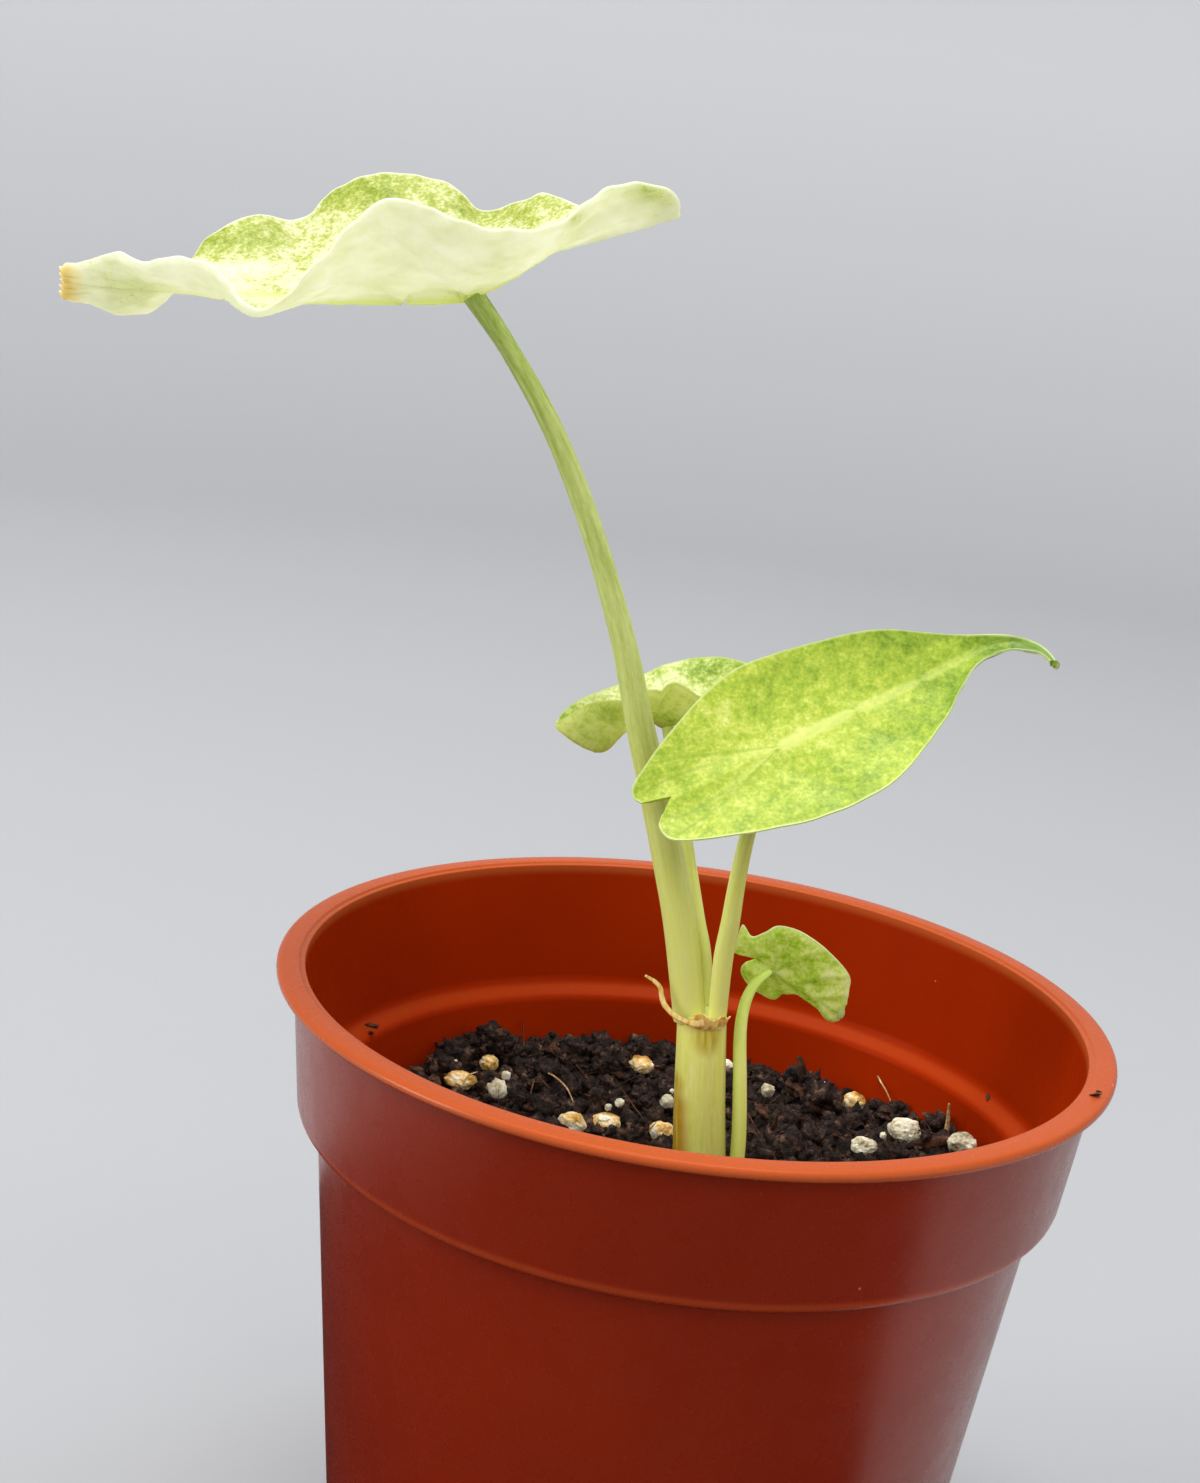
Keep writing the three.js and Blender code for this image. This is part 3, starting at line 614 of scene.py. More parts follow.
# %% Curves of the four blades, from the tip to the notch
TOP_LEAF = {
    "midrib": [
        (-74.2, 0, 146), (-68.3, 0, 146.6), (-61.6, 0, 147.1), (-54.3, 0, 147.2), (-46.1, 0, 148.3),
        (-38, 0, 149.4), (-32.7, 0, 150.6), (-30.4, 0, 152.4), (-29.1, 0, 153.4), (-28.4, 0, 153.8),
    ],
    "left": [
        (-74.2, -1, 147.7), (-71, -2.5, 148.6), (-67.3, -5, 150.1), (-63.7, -7, 149.6), (-60.1, -9.5, 150.9),
        (-55.8, -12, 150.3), (-50.9, -14.5, 147.2), (-46.6, -16.5, 150.5), (-43.3, -17.5, 154.9),
        (-40, -18, 158.3), (-37, -18, 159.4), (-32.3, -17.5, 158.4), (-27.7, -16, 157.7),
        (-24.1, -14.5, 158.4), (-21.7, -13, 160.3), (-18.3, -11, 162.8), (-14.8, -9.6, 163.4),
        (-12.5, -8.2, 162.5), (-12, -6.7, 160.4),
    ],
    "right": [
        (-74.6, 1, 144.4), (-72, 2.5, 144.1), (-68.9, 5, 143), (-66.4, 7, 144.3), (-63.9, 9, 148.8),
        (-61.7, 11.5, 152), (-57.8, 14, 154.4), (-54.1, 16, 154.1), (-51.5, 17.5, 156.7), (-48.5, 18, 159.3),
        (-44.3, 18.5, 160.3), (-38.8, 18, 160.1), (-34.5, 16.5, 157.9), (-31.2, 15, 158.7),
        (-27.4, 13, 160.3), (-23.4, 11, 159.8), (-20, 9, 160.3), (-17.3, 7, 160.5), (-18.2, 5.5, 159.2),
    ],
    "stalk_step": 6, "rib": 0.9, "sag": 0.07, "rows": 210, "columns": 120,
    "laterals": 5, "sweep": 0.2, "quilt": 0.3, "ruffle": 0.25, "seed": 3.7, "pleats": 0.22,
    "length": 60, "tip_edge": 1.2, "green": 0.38,
    "patches": [
        (0.27, -0.95, 3, 0.28), (0.33, -0.8, 4, 0.32), (0.47, -0.93, 4, 0.26), (0.54, -0.93, 5, 0.28),
        (0.64, -0.9, 4, 0.28), (0.76, -0.9, 5, 0.22), (0.31, -0.5, 3, -0.1), (0.4, -0.5, 4, 0.1),
        (0.89, 0.98, 2.5, 0.2), (0.79, 0.87, 1, 0.3), (0.12, 0.1, 4, 0.2), (0.66, 0, 3.5, 0.25),
        (0.95, 0.95, 3, 0.14),
    ],
}
MIDDLE_LEAF = {
    "midrib": [
        (31.5, -3.7, 121.1), (29.2, -1.1, 122.3), (25.8, 0.3, 122), (21.5, -0.3, 119.4), (16.8, -1.3, 116.2),
        (11.1, -3.4, 113), (4.6, -6, 109.2), (-1.1, -8.6, 105.6), (-3.7, -9.4, 104.2), (-5.3, -9.8, 103.6),
    ],
    "right": [
        (31.3, -3.8, 120.9), (30.1, -2.2, 121.8), (28.5, -1.3, 121.9), (26.6, -1, 121.6), (24.4, -1.3, 120.6),
        (23, -2.1, 119), (22, -3.5, 116.7), (21, -5.2, 114.4), (19.3, -7, 111.8), (17, -9.3, 108.8),
        (13.7, -10.9, 106.4), (9.3, -12.1, 104.1), (4, -12.9, 102.3), (0.6, -13.4, 101.4),
        (-2.8, -13.7, 100.5), (-4.9, -13.4, 100.3), (-6, -12.5, 101.1), (-6, -11.6, 101.9),
        (-5.8, -10.9, 102.4),
    ],
    "left": [
        (31.6, -3.5, 121.2), (30.7, -2, 122.1), (29.3, -0.7, 122.7), (27.5, 0, 122.9), (25.3, 0.4, 122.7),
        (21.7, 0.8, 122.1), (18.1, 1.1, 121.8), (14.5, 1.3, 121.6), (11, 1.1, 120.8), (7.1, 0.3, 119.4),
        (3.1, -0.6, 117.8), (-0.7, -1.8, 115.9), (-3.6, -3.5, 113.1), (-5.7, -5.3, 110.3),
        (-7.2, -6.7, 108.1), (-8.4, -8.2, 106), (-9.3, -9.5, 104.2), (-9.1, -10.1, 103.1),
        (-8.2, -10.5, 102.7),
    ],
    "stalk_step": 6, "rib": 0.6, "sag": 0.05, "rows": 190, "columns": 130,
    "laterals": 5, "sweep": 0.12, "quilt": 0.13, "ruffle": 0.08, "seed": 8.1,
    "length": 60, "tip_edge": 0.1, "green": 0.48,
    "patches": [
        (0.64, 0.93, 4, -0.04), (0.53, 0.83, 5, 0.06), (0.4, 0.6, 5, 0.14), (0.2, 0, 6, 0.26),
        (0.05, 0, 4, 0.5), (0.57, -0.9, 4, 0.15), (0.68, 0, 3, -0.12), (0.59, 0, 3.5, -0.12),
        (0.46, 0, 3, -0.12), (0.34, 0, 2.5, -0.1), (0.7, 0.5, 3, -0.08), (0.34, -0.8, 4, 0.15),
        (0.46, -0.5, 3.5, 0.12),
    ],
}
BACK_LEAF = {
    "midrib": [
        (-19.1, 8, 105.2), (-16.7, 8, 103.7), (-14.1, 8.5, 103), (-12.6, 9, 104.6), (-10.9, 9, 106.8),
        (-9, 9, 107.4), (-7.3, 9, 106.7), (-4.9, 9, 107.9), (-3.1, 9, 109.2), (-1.7, 9, 110.1),
    ],
    "left": [
        (-19, 7.7, 105.2), (-18.1, 7.5, 106), (-17.2, 7, 106.8), (-15.9, 6.5, 108), (-14.6, 6, 108.7),
        (-13.4, 5.5, 109.1), (-12.2, 5, 109.4), (-11.1, 4.6, 110.1), (-9.9, 4.4, 110.9), (-8.9, 4.4, 111.1),
        (-8.1, 4.5, 111.1), (-7.6, 4.5, 111.8), (-6.8, 4.6, 112.2), (-5.7, 4.8, 111.8), (-4.2, 5, 110.9),
        (-2.7, 5.4, 110.8), (-1.3, 5.8, 111.4), (-0.1, 6.4, 111.8), (0.6, 7, 111.8),
    ],
    "right": [
        (-19.1, 8.3, 105.3), (-18.6, 9, 106.1), (-17.8, 10, 106.9), (-16.8, 11, 107.5), (-15.5, 12, 108.1),
        (-14.4, 13, 108.5), (-13.2, 13.6, 109), (-11.8, 14, 109.8), (-10.3, 14.3, 110.6), (-9.3, 14.5, 111.2),
        (-8.3, 14.6, 111.8), (-6.5, 14.6, 112.5), (-4.7, 14.4, 113.1), (-2.8, 14, 113.5), (-0.9, 13.4, 113.6),
        (0.8, 12.6, 113.4), (2.2, 11.6, 112.8), (2.8, 10.6, 112), (2.3, 10, 111.1),
    ],
    "stalk_step": 6, "rib": 0.5, "sag": 0.06, "rows": 120, "columns": 70,
    "laterals": 4, "sweep": 0.18, "quilt": 0.2, "ruffle": 0.1, "seed": 14.9,
    "length": 40, "tip_edge": 0.1, "green": 0.42,
    "patches": [
        (0.74, -0.9, 3, 0.24), (0.66, -0.85, 2, 0.12), (0.22, 0.9, 3, 0.2), (0.14, -0.3, 2, 0.2),
        (0.6, -0.5, 2.5, -0.15), (0.66, 0.1, 2, 0.3), (0.18, 0.05, 2, 0.05),
    ],
}
SMALL_LEAF = {
    "midrib": [
        (16.1, 3.4, 78.4), (13.3, 3.2, 80), (10.6, 2.9, 81.4), (8.1, 2.6, 82.8), (7.2, 2.4, 83.2),
        (6.6, 2.3, 83.5), (6.2, 2.2, 83.8),
    ],
    "left": [
        (15.8, 3.6, 77.6), (14.5, 4, 77.3), (13.1, 4.4, 78.6), (11.2, 4.6, 79.5), (9.4, 4.8, 79.3),
        (8.5, 4.8, 78.5), (7.1, 4.6, 78.9), (5.8, 4.2, 79.7), (4.7, 3.6, 81.1), (4.4, 3, 82.2),
        (4.8, 2.6, 82.9),
    ],
    "right": [
        (16.2, 3, 79.8), (16.2, 2.6, 81.7), (16, 2.2, 83.3), (14.1, 1.6, 85.3), (12, 1.2, 86.9),
        (9.8, 1, 87.9), (7.6, 0.8, 88.1), (6.3, 0.9, 87.2), (5, 1, 86.5), (3.8, 1, 87.6), (3.3, 1.8, 84.2),
    ],
    "stalk_step": 3, "rib": 0.4, "sag": 0.05, "rows": 90, "columns": 70,
    "laterals": 3, "sweep": 0.16, "quilt": 0.18, "ruffle": 0.1, "seed": 21.3,
    "length": 25, "tip_edge": 0.1, "green": 0.33,
    "patches": [(0.46, -0.73, 3, 0.1), (0.21, -0.47, 3, -0.05)],
}
BLADE_THICKNESS = 0.42
PLEAT_REACH = 1.4
PLEAT_TURNS = 8.5


# %% Lay the sheet between the three curves
def blade_row(leaf, u):
    """What the points of one row share: midrib, both margins, the way down and how far the sheet sags."""
    root = curve_point(leaf["midrib"], u)
    left = curve_point(leaf["left"], u)
    right = curve_point(leaf["right"], u)
    down = curve_direction(leaf["midrib"], u).cross(left - right).normalized()
    return root, left, right, down, 1 - 0.9 * ease(u, 0.86, 1)


def blade_point(leaf, row, v):
    """Point of the blade's middle surface at v, from -1 on the right margin to 1 on the left one."""
    root, left, right, down, shallow = row
    edge = left if v >= 0 else right
    side = abs(v)
    belly = leaf["sag"] * (edge - root).length * 4 * side * (1 - side) * shallow
    return root.lerp(edge, side) + down * belly


def stalk_share(leaf):
    """Where along the midrib the stalk joins."""
    return leaf["stalk_step"] / (len(leaf["midrib"]) - 1)


def vein_paths(leaf):
    """Each vein as its (u, v) path with its half width in mm at both ends."""
    joint = stalk_share(leaf)
    steps = [k / 40 for k in range(41)]
    paths = [([(joint * (1 - t) + 0.004, 0) for t in steps], leaf["rib"], 0.14)]
    for side in (-1, 1):
        lobe = [(joint + (0.93 - joint) * t, side * 0.78 * t ** 0.9) for t in steps]
        paths.append((lobe, leaf["rib"] * 0.7, 0.1))
        for k in range(leaf["laterals"]):
            start = joint * (1 - (k + 0.02) / (leaf["laterals"] + 0.3))
            sweep = leaf["sweep"] * (0.9 + 0.3 * noise.noise(Vector((k, side, leaf["seed"]))))
            sweep = min(sweep, start * 0.8)
            lateral = [(start - sweep * t ** 1.3, side * t * 0.97) for t in steps]
            paths.append((lateral, 0.3, 0.09))
        back = [(joint + 0.16 * t, side * 0.95 * t) for t in steps]
        paths.append((back, 0.28, 0.09))
    return paths


def vein_tree(leaf):
    """A search tree of points on the veins, and the half width of the vein at each."""
    places = []
    widths = []
    for path, wide, narrow in vein_paths(leaf):
        points = [blade_point(leaf, blade_row(leaf, u), v) for u, v in path]
        for k, (here, after) in enumerate(zip(points, points[1:])):
            parts = max(1, round((after - here).length / 0.2))
            for part in range(parts):
                share = (k + part / parts) / len(points)
                places.append(here.lerp(after, part / parts))
                widths.append(wide + (narrow - wide) * share)
    tree = kdtree.KDTree(len(places))
    for index, place in enumerate(places):
        tree.insert(place, index)
    tree.balance()
    return tree, widths


# %% Thickness, veins and ruffle
def green_at(leaf, point, patches):
    """How green the blade is at a point: its own level plus soft patches given as (u, v, reach, amount)."""
    level = leaf["green"]
    for centre, reach, amount in patches:
        level += amount * math.exp(-((point - centre).length / reach) ** 2)
    return level


def blade_sheet(leaf):
    """The open sheet between the curves, with the leaf's own measures stored on each vertex."""
    bm = bmesh.new()
    bmesh.ops.create_grid(bm, x_segments=leaf["rows"], y_segments=leaf["columns"], size=1)
    measure = bm.verts.layers.float_vector.new("leaf_mm")
    vein = bm.verts.layers.float_vector.new("vein_mm")
    tree, widths = vein_tree(leaf)
    patches = [
        (blade_point(leaf, blade_row(leaf, u), v), reach, amount)
        for u, v, reach, amount in leaf["patches"]
    ]
    rows = {}
    for v in bm.verts:
        u, across = (v.co.x + 1) / 2, v.co.y
        key = round(u, 5)
        if key not in rows:
            rows[key] = blade_row(leaf, u)
        root, left, right = rows[key][:3]
        half = ((left if across >= 0 else right) - root).length
        v.co = blade_point(leaf, rows[key], across)
        _, index, away = tree.find(v.co)
        margin = min(half * (1 - abs(across)), u * leaf["length"] + leaf["tip_edge"])
        v[measure] = Vector((u, across * half, margin))
        v[vein] = Vector((away, widths[index], green_at(leaf, v.co, patches)))
    return bm, measure, vein


def face_up(leaf, bm, measure):
    """Turns the sheet so that its normals point out of the upper side."""
    bm.normal_update()
    middle = bm.verts[:][len(bm.verts) // 2]
    if middle.normal.dot(blade_row(leaf, middle[measure].x)[3]) > 0:
        bmesh.ops.reverse_faces(bm, faces=bm.faces)
        bm.normal_update()


def blade_solid(leaf):
    """The closed blade: an upper side cushioned between its veins, and a lower side with its ribs."""
    bm, measure, vein = blade_sheet(leaf)
    face_up(leaf, bm, measure)
    shift = Vector((leaf["seed"], 0, 0))
    for v, normal in [(v, v.normal.copy()) for v in bm.verts]:
        away, width, _ = v[vein]
        u, across, inland = v[measure]
        fold = math.exp(-u * leaf["length"] / PLEAT_REACH) * leaf.get("pleats", 0)
        cushion = leaf["quilt"] * ease(away, width * 0.6, 2.4) * ease(inland, 0, 2)
        ruffle = leaf["ruffle"] * math.exp(-inland / 2.5) * noise.noise(v.co * 0.4 + shift)
        dimple = leaf["quilt"] * 0.3 * noise.noise(v.co * 0.9 + shift) * ease(inland, 0, 1)
        pleat = fold * math.sin(across * PLEAT_TURNS)
        v.co += normal * (cushion + 2 * ruffle + dimple + pleat)
        v.co.x -= fold * math.sin(across * PLEAT_TURNS + 1)

    def depth(v):
        away, width, _ = v[vein]
        thin = 0.5 + 0.5 * ease(v[measure].z, 0, 0.8)
        return BLADE_THICKNESS * thin + width * math.exp(-(away / (width + 0.2)) ** 2)

    upper = thicken(bm, depth)
    for face in bm.faces:
        face.material_index = 0 if all(v in upper for v in face.verts) else 1
    return bm


# %% [markdown]
# ### Leaf tissue
#
# A variegated leaf is a mosaic: where the cells lack chlorophyll it is cream, where they have it yellow
# green to deep green, in patches of a few millimetres broken into crisp specks of a third of a millimetre.
# The green of each place is a soft level stored on the mesh plus noise at those sizes, sent through one
# colour ramp. Veins and the pale hardened margin follow distances in millimetres that the mesh also
# stores. The skin is a waxy cuticle with an IOR of about 1.45 and a satin gloss, and light goes through
# the tissue, so a translucent shader is mixed in. The lower side is duller and paler.

# %% Leaf materials
MOTTLE_SIZES = (4.5, 1.4, 0.42)
MOTTLE_DETAILS = (2, 4, 3)
HAIRLINE = "7fa02e"
# The dried tip is tan in the creases of its pleats and near white on their crests: dried tissue, with painted
# shade in the creases and painted light on the crests.
DRY_TIP_CREASE_SHADE_TONES = [(0.0, "f4de7c"), (0.6, "fffdee")]


def leaf_tissue(name, tones, vein_colour, margin_colour, specks, glow, gloss, hairline=0.0, dry_tip=0.0):
    """Variegated blade tissue. The three specks are how strong patches, mottles and specks are."""
    material = new_material(name)
    place = add_node(material, "TexCoord").outputs["Object"]
    vein = add_node(material, "SeparateXYZ", {
        "Vector": add_node(material, "Attribute", attribute_name="vein_mm").outputs["Vector"],
    })
    measure = add_node(material, "SeparateXYZ", {
        "Vector": add_node(material, "Attribute", attribute_name="leaf_mm").outputs["Vector"],
    })
    level = vein.outputs["Z"]
    for size, strength, detail in zip(MOTTLE_SIZES, specks, MOTTLE_DETAILS):
        cloud = add_node(material, "TexNoise", {
            "Vector": place, "Scale": per_mm(size), "Detail": detail, "Roughness": 0.65,
        })
        centred = add_node(material, "Math", {0: cloud, 1: 0.5}, operation="SUBTRACT")
        level = add_node(
            material, "Math", {0: centred, 1: strength, 2: level}, operation="MULTIPLY_ADD",
        )
    colour = add_node(material, "ValToRGB", {"Fac": level}, stops=tones)
    on_vein = add_node(material, "Math", {
        0: vein.outputs["X"],
        1: add_node(material, "Math", {0: vein.outputs["Y"], 1: 0.1}, operation="ADD"),
    }, operation="DIVIDE")
    strong = add_node(material, "MapRange", {
        "Value": vein.outputs["Y"], "From Min": 0.25, "From Max": 0.6, "To Min": 0.04, "To Max": 0.75,
    })
    near = add_node(material, "MapRange", {
        "Value": on_vein, "From Min": 0.5, "From Max": 1.5, "To Min": 1.0, "To Max": 0.0,
    }, interpolation_type="SMOOTHSTEP")
    line = add_node(material, "Math", {0: near, 1: strong}, operation="MULTIPLY")
    veined = add_node(material, "Mix", {
        "Factor": line, "A": colour, "B": linear(vein_colour),
    }, data_type="RGBA")
    thread = add_node(material, "MapRange", {
        "Value": vein.outputs["X"], "From Min": 0.08, "From Max": 0.3, "To Min": hairline, "To Max": 0.0,
    }, interpolation_type="SMOOTHSTEP")
    side_vein = add_node(material, "MapRange", {
        "Value": vein.outputs["Y"], "From Min": 0.3, "From Max": 0.36, "To Min": 1.0, "To Max": 0.0,
    })
    lined = add_node(material, "Mix", {
        "Factor": add_node(material, "Math", {0: thread, 1: side_vein}, operation="MULTIPLY"),
        "A": veined, "B": linear(HAIRLINE),
    }, data_type="RGBA")
    # The tip colour follows the same sine as the pleats of the mesh: painted shade in the creases, painted
    # light on the crests.
    pleats = add_node(material, "Math", {
        0: add_node(material, "Math", {0: measure.outputs["Y"], 1: PLEAT_TURNS}, operation="MULTIPLY"),
    }, operation="SINE")
    dried = add_node(material, "MapRange", {
        "Value": measure.outputs["X"], "From Min": 0.01, "From Max": 0.05, "To Min": dry_tip, "To Max": 0.0,
    })
    tipped = add_node(material, "Mix", {
        "Factor": dried, "A": lined,
        "B": add_node(material, "ValToRGB", {"Fac": pleats}, stops=DRY_TIP_CREASE_SHADE_TONES),
    }, data_type="RGBA")
    rim = add_node(material, "MapRange", {
        "Value": measure.outputs["Z"], "From Min": 0.03, "From Max": 0.3, "To Min": 0.7, "To Max": 0.0,
    }, interpolation_type="SMOOTHSTEP")
    skin = add_node(material, "Mix", {
        "Factor": rim, "A": tipped, "B": linear(margin_colour),
    }, data_type="RGBA")
    cells = add_node(material, "TexVoronoi", {"Vector": place, "Scale": per_mm(0.5)}, feature="SMOOTH_F1")
    relief = add_node(material, "Bump", {
        "Height": cells.outputs["Distance"], "Strength": 0.25, "Distance": 0.04 * MM,
    })
    shader = add_node(material, "BsdfPrincipled", {
        "Base Color": skin, "Roughness": gloss, "IOR": 1.45, "Specular IOR Level": 0.35, "Normal": relief,
    })
    through = add_node(material, "BsdfTranslucent", {"Color": skin, "Normal": relief})
    both = add_node(material, "MixShader", {0: glow, 1: shader, 2: through})
    return close_material(material, both)


CREAM_UPPER = [
    (0.05, "f7f7e6"), (0.3, "f0f1d2"), (0.46, "e0e4ae"), (0.6, "c2ca68"), (0.78, "9fb042"), (0.97, "729026"),
]
CREAM_UNDER = [
    (0.14, "f6f6ee"), (0.6, "f1f1df"), (0.76, "dde59a"), (0.98, "a9bd48"),
]
GREEN_UPPER = [
    (0.05, "e9ebaa"), (0.25, "d2da68"), (0.45, "b5c846"), (0.65, "98b33a"), (0.83, "7c9b30"),
    (0.98, "5c8024"),
]
# The small leaf lies in the shade of the middle leaf, so its tones are a lighter copy of the green leaf
# tones: painted light.
SMALL_LEAF_LIT_TONES = [
    (0.05, "f6fac4"), (0.3, "e0ee84"), (0.5, "bedb4a"), (0.7, "98bc2e"), (0.95, "6c961e"),
]
PALE_UPPER = [
    (0.1, "f4f6da"), (0.35, "e6ecae"), (0.52, "c8d87a"), (0.7, "a2bc50"), (0.95, "789a34"),
]
# The back leaf's lower side lies folded in its own shade, so its tones are lightened: painted light.
BACK_UNDER_LIT_TONES = [
    (0.1, "fbfad4"), (0.45, "f2f4ae"), (0.7, "d2da74"), (0.95, "a6b448"),
]
GREEN_UNDER = [
    (0.1, "e0e69a"), (0.45, "c3cf58"), (0.7, "9fb23a"), (0.95, "6f8a26"),
]
upper_cream = leaf_tissue(
    "cream leaf upper cuticle", CREAM_UPPER, "e6ee9c", "fafbec", (0.45, 0.7, 0.9), 0.55, 0.42, dry_tip=0.75,
)
under_cream = leaf_tissue(
    "cream leaf lower cuticle", CREAM_UNDER, "dfe68a", "fafbec", (0.25, 0.6, 0.9), 0.64, 0.55, dry_tip=0.75,
)
upper_green = leaf_tissue(
    "green leaf upper cuticle", GREEN_UPPER, "e2ea86", "dce8a0", (0.4, 0.95, 0.8), 0.36, 0.42, 0.35,
)
under_green = leaf_tissue(
    "green leaf lower cuticle", GREEN_UNDER, "c9d84a", "eef3c0", (0.3, 0.4, 0.15), 0.45, 0.55,
)
# Painted light: the small leaf's lighter tissue, for the shade it lies in.
small_leaf_lit_tissue = leaf_tissue(
    "young leaf cuticle", SMALL_LEAF_LIT_TONES, "e0ea90", "e8eec0", (0.6, 1.2, 0.8), 0.52, 0.5, 0.1,
)
pale_green = leaf_tissue(
    "back leaf upper cuticle", PALE_UPPER, "e2e8a0", "c8d890", (0.5, 1.0, 1.0), 0.45, 0.42, 0.3,
)
# Painted light: the back leaf's lower side is lightened for the shade it lies in.
back_under_lit_tissue = leaf_tissue(
    "back leaf lower cuticle", BACK_UNDER_LIT_TONES, "b8a850", "d8dc90", (0.5, 0.9, 0.5), 0.72, 0.55,
)

# %% Make the four blades
LEAVES = [
    ("top", TOP_LEAF, (upper_cream, under_cream), "cream_leaf"),
    ("middle", MIDDLE_LEAF, (upper_green, under_green), "green_leaf"),
    ("back", BACK_LEAF, (pale_green, back_under_lit_tissue), "green_leaf"),
    ("small", SMALL_LEAF, (small_leaf_lit_tissue, small_leaf_lit_tissue), "green_leaf"),
]
for leaf_name, leaf, tissues, slot in LEAVES:
    finish_piece(blade_solid(leaf), f"leaf_{leaf_name}", tissues, [f"blade_{leaf_name}"], 70)

# %% [markdown]
# ## Stalks and stem
#
# A leaf stalk is a juicy tapering rod with fine ribs along it. A cone with many sides is cut into rings,
# and each ring is carried to its place on the stalk's curve. The ribs come from noise on the straightened
# stalk, which changes quickly round it and hardly at all along it. The same straightened place is stored
# on every vertex, so that streaks in the skin run along the stalk as well.

# %% Bend a ringed rod along a curve
STALK_SIDES = 48


def bent_rod(points, radii, sides, steps, ribs=0.0, flatness=1.0, seed=0.0):
    """A closed rod along a curve, with the straightened place of each vertex stored as skin_mm."""
    bm = bmesh.new()
    bmesh.ops.create_cone(bm, cap_ends=True, segments=sides, radius1=1, radius2=1, depth=1)
    walls = [e for e in bm.edges if abs(e.verts[0].co.z - e.verts[1].co.z) > 0.5]
    bmesh.ops.subdivide_edges(bm, edges=walls, cuts=steps - 1, use_grid_fill=True)
    skin = bm.verts.layers.float_vector.new("skin_mm")
    length = sum(
        (curve_point(points, (k + 1) / 40) - curve_point(points, k / 40)).length for k in range(40)
    )
    rings = {}
    for v in bm.verts:
        t = v.co.z + 0.5
        key = round(t, 5)
        if key not in rings:
            tangent = curve_direction(points, t)
            across = Vector((0, 1, 0)).cross(tangent).normalized()
            rings[key] = (curve_point(points, t), across, tangent.cross(across), along(radii, t))
        centre, across, forward, radius = rings[key]
        turn = Vector((v.co.x, v.co.y, 0))
        rib = ribs * noise.noise(turn * 3.2 + Vector((0, seed, t * length * 0.02)))
        fine = ribs * 0.5 * noise.noise(turn * 7.5 + Vector((seed, 0, t * length * 0.02)))
        reach = radius + rib + fine
        v[skin] = Vector((turn.x * radius, turn.y * radius, t * length))
        v.co = centre + across * turn.x * reach + forward * turn.y * reach * flatness
    bmesh.ops.recalc_face_normals(bm, faces=bm.faces)
    return bm


# %% [markdown]
# ### Stalk skin
#
# The skin is smooth and waxy over pale tissue that scatters light, so it gets a little subsurface. Its
# colour runs in streaks along the stalk, with pale flecks a millimetre or two long.

# %% Stalk materials
def stalk_skin(name, pale, tones, stains=()):
    """Waxy ribbed skin, streaked from its tones to a paler one. Tones go up the stalk as (height, colour).

    Stains are soft spots as (x, y, z, reach, colour).
    """
    material = new_material(name)
    place = add_node(material, "TexCoord").outputs["Object"]
    straight = add_node(material, "Attribute", attribute_name="skin_mm").outputs["Vector"]
    streak_place = add_node(material, "VectorMath", {0: straight, 1: (1, 1, 0.07)}, operation="MULTIPLY")
    streaks = add_node(material, "TexNoise", {
        "Vector": streak_place, "Scale": 2.2, "Detail": 4, "Roughness": 0.6,
    })
    fleck_place = add_node(material, "VectorMath", {0: straight, 1: (1, 1, 0.3)}, operation="MULTIPLY")
    flecks = add_node(material, "TexNoise", {"Vector": fleck_place, "Scale": 3.5, "Detail": 2})
    low, high = tones[0][0] * MM, tones[-1][0] * MM
    share = add_node(material, "MapRange", {
        "Value": add_node(material, "SeparateXYZ", {"Vector": place}).outputs["Z"],
        "From Min": low, "From Max": high,
    })
    base = add_node(material, "ValToRGB", {"Fac": share}, stops=[
        ((height * MM - low) / (high - low), tone) for height, tone in tones
    ])
    level = add_node(material, "Math", {0: flecks, 1: 0.4, 2: streaks}, operation="MULTIPLY_ADD")
    streaked = add_node(material, "MapRange", {
        "Value": level, "From Min": 0.5, "From Max": 0.9, "To Max": 0.55,
    })
    colour = add_node(material, "Mix", {
        "Factor": streaked, "A": base, "B": linear(pale),
    }, data_type="RGBA")
    torn = add_node(material, "MapRange", {"Value": streaks, "From Min": 0.3, "From Max": 0.5})
    for x, y, z, reach, stain in stains:
        away = add_node(material, "VectorMath", {
            0: place, 1: (x * MM, y * MM, z * MM),
        }, operation="DISTANCE")
        spot = add_node(material, "MapRange", {
            "Value": away.outputs["Value"], "From Min": 0.2 * reach * MM, "From Max": reach * MM,
            "To Min": 1.0, "To Max": 0.0,
        }, interpolation_type="SMOOTHSTEP")
        patchy = add_node(material, "Math", {0: spot, 1: torn}, operation="MULTIPLY")
        colour = add_node(material, "Mix", {
            "Factor": patchy, "A": colour, "B": linear(stain),
        }, data_type="RGBA")
    relief = add_node(material, "Bump", {"Height": streaks, "Strength": 0.3, "Distance": 0.04 * MM})
    shader = add_node(material, "BsdfPrincipled", {
        "Base Color": colour, "Roughness": 0.42, "IOR": 1.42, "Normal": relief,
        "Subsurface Weight": 0.5, "Subsurface Radius": (1.0, 1.0, 0.4), "Subsurface Scale": 1.4 * MM,
    })
    return close_material(material, shader)


